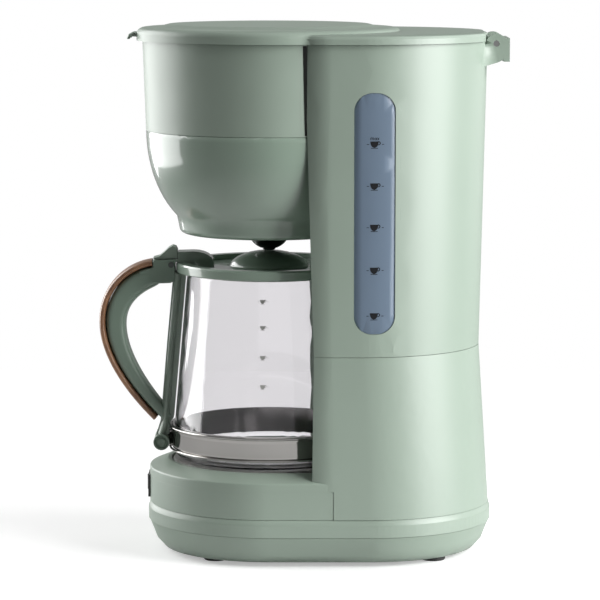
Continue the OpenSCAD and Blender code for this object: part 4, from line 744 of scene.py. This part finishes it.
class COFFEE_OT_handle(bpy.types.Operator):
    """Shape the grip with its wood strip and its head"""
    bl_idname = "coffee.handle"
    bl_label = "Handle"

    def execute(self, context):
        s = np.linspace(0.0, 2.0, 121)
        thick = 16.0 + (11.5 - 16.0) * s / 2 + 4.4 * np.sin(math.pi * (s / 2) ** 0.6)
        v, f = grip_surface(s, 4.55, thick, 0.5)
        grip = place_mesh("grip", v, f, "carafe", MATERIALS["green_dark"], 40.0, ("handle",))
        outward(grip)
        s = np.linspace(1 / 14, 27 / 14, 121)
        v, f = grip_surface(s, 0.0, 4.4, 0.62)
        strip = place_mesh("wood_strip", v, f, "carafe", MATERIALS["wood"], 40.0, ("handle_inlay",))
        outward(strip)
        # rounded outer edge of the spine: an ellipse carried down the line (out, z), with its axis
        # across the spine and its other axis square to the line
        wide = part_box("handle_spine")[1][0] / MM + 0.12
        line = np.array([(62.1, 181.9), (66.6, 134.3), (70.9, 84.1), (73.4, 76.5)])
        t = np.gradient(line, axis=0)
        t /= np.linalg.norm(t, axis=1)[:, None]
        n = np.stack([-t[:, 1], t[:, 0]], 1)
        u = np.linspace(0, 2 * math.pi, 25)[:-1][None]
        across = wide * np.sin(u) * np.ones((4, 1))
        along = line[:, :, None] + n[:, :, None] * (3.4 * np.cos(u)[:, None] - 3.1)
        grid = np.stack([across, BREW_Y - along[:, 0], along[:, 1]], 2)
        faces = grid_faces(4, 24, False, True).tolist() + [list(range(24)), [72 + i for i in range(24)]]
        merged(place_mesh("spine_edge", grid.reshape(-1, 3), faces, "carafe", MATERIALS["green_matte"],
                          40.0))
        top = [(-106.5, 175.6), (-106.5, 182.9), (-102.9, 184.1), (-97.7, 185.4), (-97.7, 189.9),
               (-87, 190.4), (-82.9, 190.4), (-82.9, 184.0), (-82.9, 176.8), (-86, 175.1),
               (-94, 174.8), (-100.5, 175.0)]
        head = prism("grip_head", top, -9.0, 9.0, "carafe", MATERIALS["green_dark"], 1.2)
        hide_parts("handle")
        return {"FINISHED"}


class COFFEE_OT_marks(bpy.types.Operator):
    """Print the level marks on the window and the glass"""
    bl_idname = "coffee.marks"
    bl_label = "Level marks"

    def execute(self, context):
        levels = (269.9, 243.6, 217.6, 190.5, 161.6)
        verts, faces = [], []
        for z in levels:
            cup_mark(verts, faces, lambda y, h: window_point(y + 45.3, z + 0.9 + h), scale=1.1)
        word_mark(verts, faces, lambda y, h: window_point(y + 45.2, levels[0] + 4.1 + h))
        v = np.concatenate(verts)
        place_mesh("window_marks", v, [f for part in faces for f in part], "machine", MATERIALS["mark"],
                   60)
        # a fine bead follows the window's outline: a circle of radius 0.42 carried round it
        low, high = (np.array(v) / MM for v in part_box("gauge_window"))
        y0, y1, z0, z1 = low[1] - 0.1, high[1] + 0.1, low[2] - 0.1, high[2] + 0.1
        path = rounded([(y0, z0 + 40), (y0, z1), (y1, z1), (y1, z0), (y0, z0), (y0, z0 + 40)],
                       [0, 11.5, 11.5, 11.5, 11.5, 0], 10)[:-1]
        t = np.roll(path, -1, 0) - np.roll(path, 1, 0)
        t /= np.linalg.norm(t, axis=1)[:, None]
        x, _, _ = window_point(path[:, 0], path[:, 1], 0.0)
        u = np.linspace(0, 2 * math.pi, 9)[:-1][None]
        grid = np.stack([x[:, None] + 0.42 * np.cos(u), path[:, :1] + 0.42 * np.sin(u) * t[:, 1:],
                         path[:, 1:] - 0.42 * np.sin(u) * t[:, :1]], 2)
        merged(place_mesh("window_bead", grid.reshape(-1, 3), grid_faces(len(path), 8, True, True), "machine",
                          MATERIALS["green_gloss"], 60.0))
        levels = (168.7, 152.1, 133.1, 114.6)
        verts, faces = [], []
        for z in levels:
            cup_mark(verts, faces, lambda y, h: glass_point(y - 3.2, z + h), scale=0.7)
        v = np.concatenate(verts)
        place_mesh("glass_marks", v, [f for part in faces for f in part], "carafe",
                   MATERIALS["mark_pale"], 60)
        return {"FINISHED"}


def window_point(y, z, lift=0.06):
    """Point on the window's outer face at (y, z): the flat side, or the rear arc behind y = 37.2."""
    w = 77.7 + (82.2 - 77.7) * (z - SEAM_Z) / (RIM_Z - SEAM_Z) - 0.5 + lift
    return np.sqrt(w ** 2 - np.maximum(y - 37.2, 0.0) ** 2), y, z


def glass_point(y, z, lift=0.06):
    """Point on the glass at the distance y along its round wall from the side that faces +x."""
    r = 62.0 + (53.6 - 62.0) * (z - 81.3) / (178.3 - 81.3) + lift
    return r * np.cos(y / r), BREW_Y + r * np.sin(y / r), z


def cup_mark(verts, faces, place, scale=1.0):
    """One small cup with a round handle and a dash on each side.

    Each part is a strip between two curves of (across, up), laid on the wall by `place`."""
    t = np.linspace(0, 1, 13)
    parts = []
    # bowl of the cup: its half width shrinks as the square root of the height left
    up = 1.5 - 3.6 * t
    half = 2.35 * np.sqrt(np.clip(1 - t ** 2.2, 0.02, 1))
    parts.append((np.stack([-0.6 - half, up]), np.stack([-0.6 + half, up])))
    # handle: a ring sector
    a = np.linspace(-1.9, 1.9, 13)
    parts.append((np.stack([1.8 + 0.65 * np.cos(a), 0.45 + 0.65 * np.sin(a)]),
                  np.stack([1.8 + 1.15 * np.cos(a), 0.45 + 1.15 * np.sin(a)])))
    # saucer line and the two dashes
    for x0, x1, z0, z1 in ((-2.6, 1.4, -2.55, -2.2), (-4.9, -3.6, -0.35, 0.0), (3.7, 4.9, -0.35, 0.0)):
        x = np.linspace(x0, x1, 13)
        parts.append((np.stack([x, np.full(13, z0)]), np.stack([x, np.full(13, z1)])))
    lay_strips(parts, verts, faces, place, scale)


def lay_strips(parts, verts, faces, place, scale=1.0):
    """Adds strips of 13 pairs of points (across, up), scaled and laid on a wall by `place`."""
    start = sum(len(v) for v in verts)
    for low, high in parts:
        grid = np.stack([low, high], 2) * scale
        x, y, z = place(grid[0], grid[1])
        verts.append(np.stack([x, y, z * np.ones_like(x)], 2).reshape(-1, 3))
        faces.append((grid_faces(13, 2, False, False) + start).tolist())
        start += 26


def word_mark(verts, faces, place, height=1.5, pen=0.32):
    """The word max, from bars and arches of one pen width."""
    t = np.linspace(0, 1, 13)

    def bar(x0, z0, x1, z1):
        """Straight stroke: the pen's edge lies half a width to each side of the line."""
        d = np.array([z1 - z0, x0 - x1]) / math.hypot(x1 - x0, z1 - z0) * pen / 2
        line = np.stack([x0 + (x1 - x0) * t, z0 + (z1 - z0) * t])
        return line + d[:, None], line - d[:, None]

    def arch(x, z, r, a0, a1):
        """Round stroke: the pen's edge lies at r plus and minus half a width."""
        a = np.radians(a0 + (a1 - a0) * t)
        return (np.stack([x + (r + pen / 2) * np.cos(a), z + (r + pen / 2) * np.sin(a)]),
                np.stack([x + (r - pen / 2) * np.cos(a), z + (r - pen / 2) * np.sin(a)]))

    h = height / 2
    parts = [bar(-2.9, -h, -2.9, h), bar(-2.0, -h, -2.0, h - 0.45), bar(-1.1, -h, -1.1, h - 0.45),
             arch(-2.45, h - 0.45, 0.45, 0, 180), arch(-1.55, h - 0.45, 0.45, 0, 180),
             arch(0.15, 0, 0.58, 0, 360), bar(0.75, -h, 0.75, h),
             bar(1.3, -h, 2.4, h), bar(1.3, h, 2.4, -h)]
    lay_strips(parts, verts, faces, place)


class COFFEE_PT_panel(bpy.types.Panel):
    """Buttons for each group of pieces"""
    bl_idname = "COFFEE_PT_panel"
    bl_label = "Coffee maker"
    bl_space_type = "VIEW_3D"
    bl_region_type = "UI"
    bl_category = "Coffee maker"

    def draw(self, context):
        for idname in STEPS:
            self.layout.operator(idname)


STEPS = ("coffee.stage", "coffee.finishes", "coffee.skins", "coffee.deck", "coffee.handle", "coffee.marks")
CLASSES = (CoffeeColours, CoffeeSizes, COFFEE_OT_finishes, COFFEE_OT_stage, COFFEE_OT_skins,
           COFFEE_OT_deck, COFFEE_OT_handle, COFFEE_OT_marks, COFFEE_PT_panel)


def register():
    """Adds the classes and the two groups of settings."""
    for cls in CLASSES:
        bpy.utils.register_class(cls)
    bpy.types.Scene.coffee_colours = bpy.props.PointerProperty(type=CoffeeColours)
    bpy.types.Scene.coffee_sizes = bpy.props.PointerProperty(type=CoffeeSizes)


def unregister():
    """Removes them again."""
    del bpy.types.Scene.coffee_colours
    del bpy.types.Scene.coffee_sizes
    for cls in reversed(CLASSES):
        bpy.utils.unregister_class(cls)


def run_step(idname):
    """Calls one operator by its name."""
    group, name = idname.split(".")
    if getattr(getattr(bpy.ops, group), name)() != {"FINISHED"}:
        raise RuntimeError(idname + " did not finish")


def main():
    """Builds everything in order."""
    register()
    for idname in STEPS:
        run_step(idname)


if __name__ == "__main__":
    main()
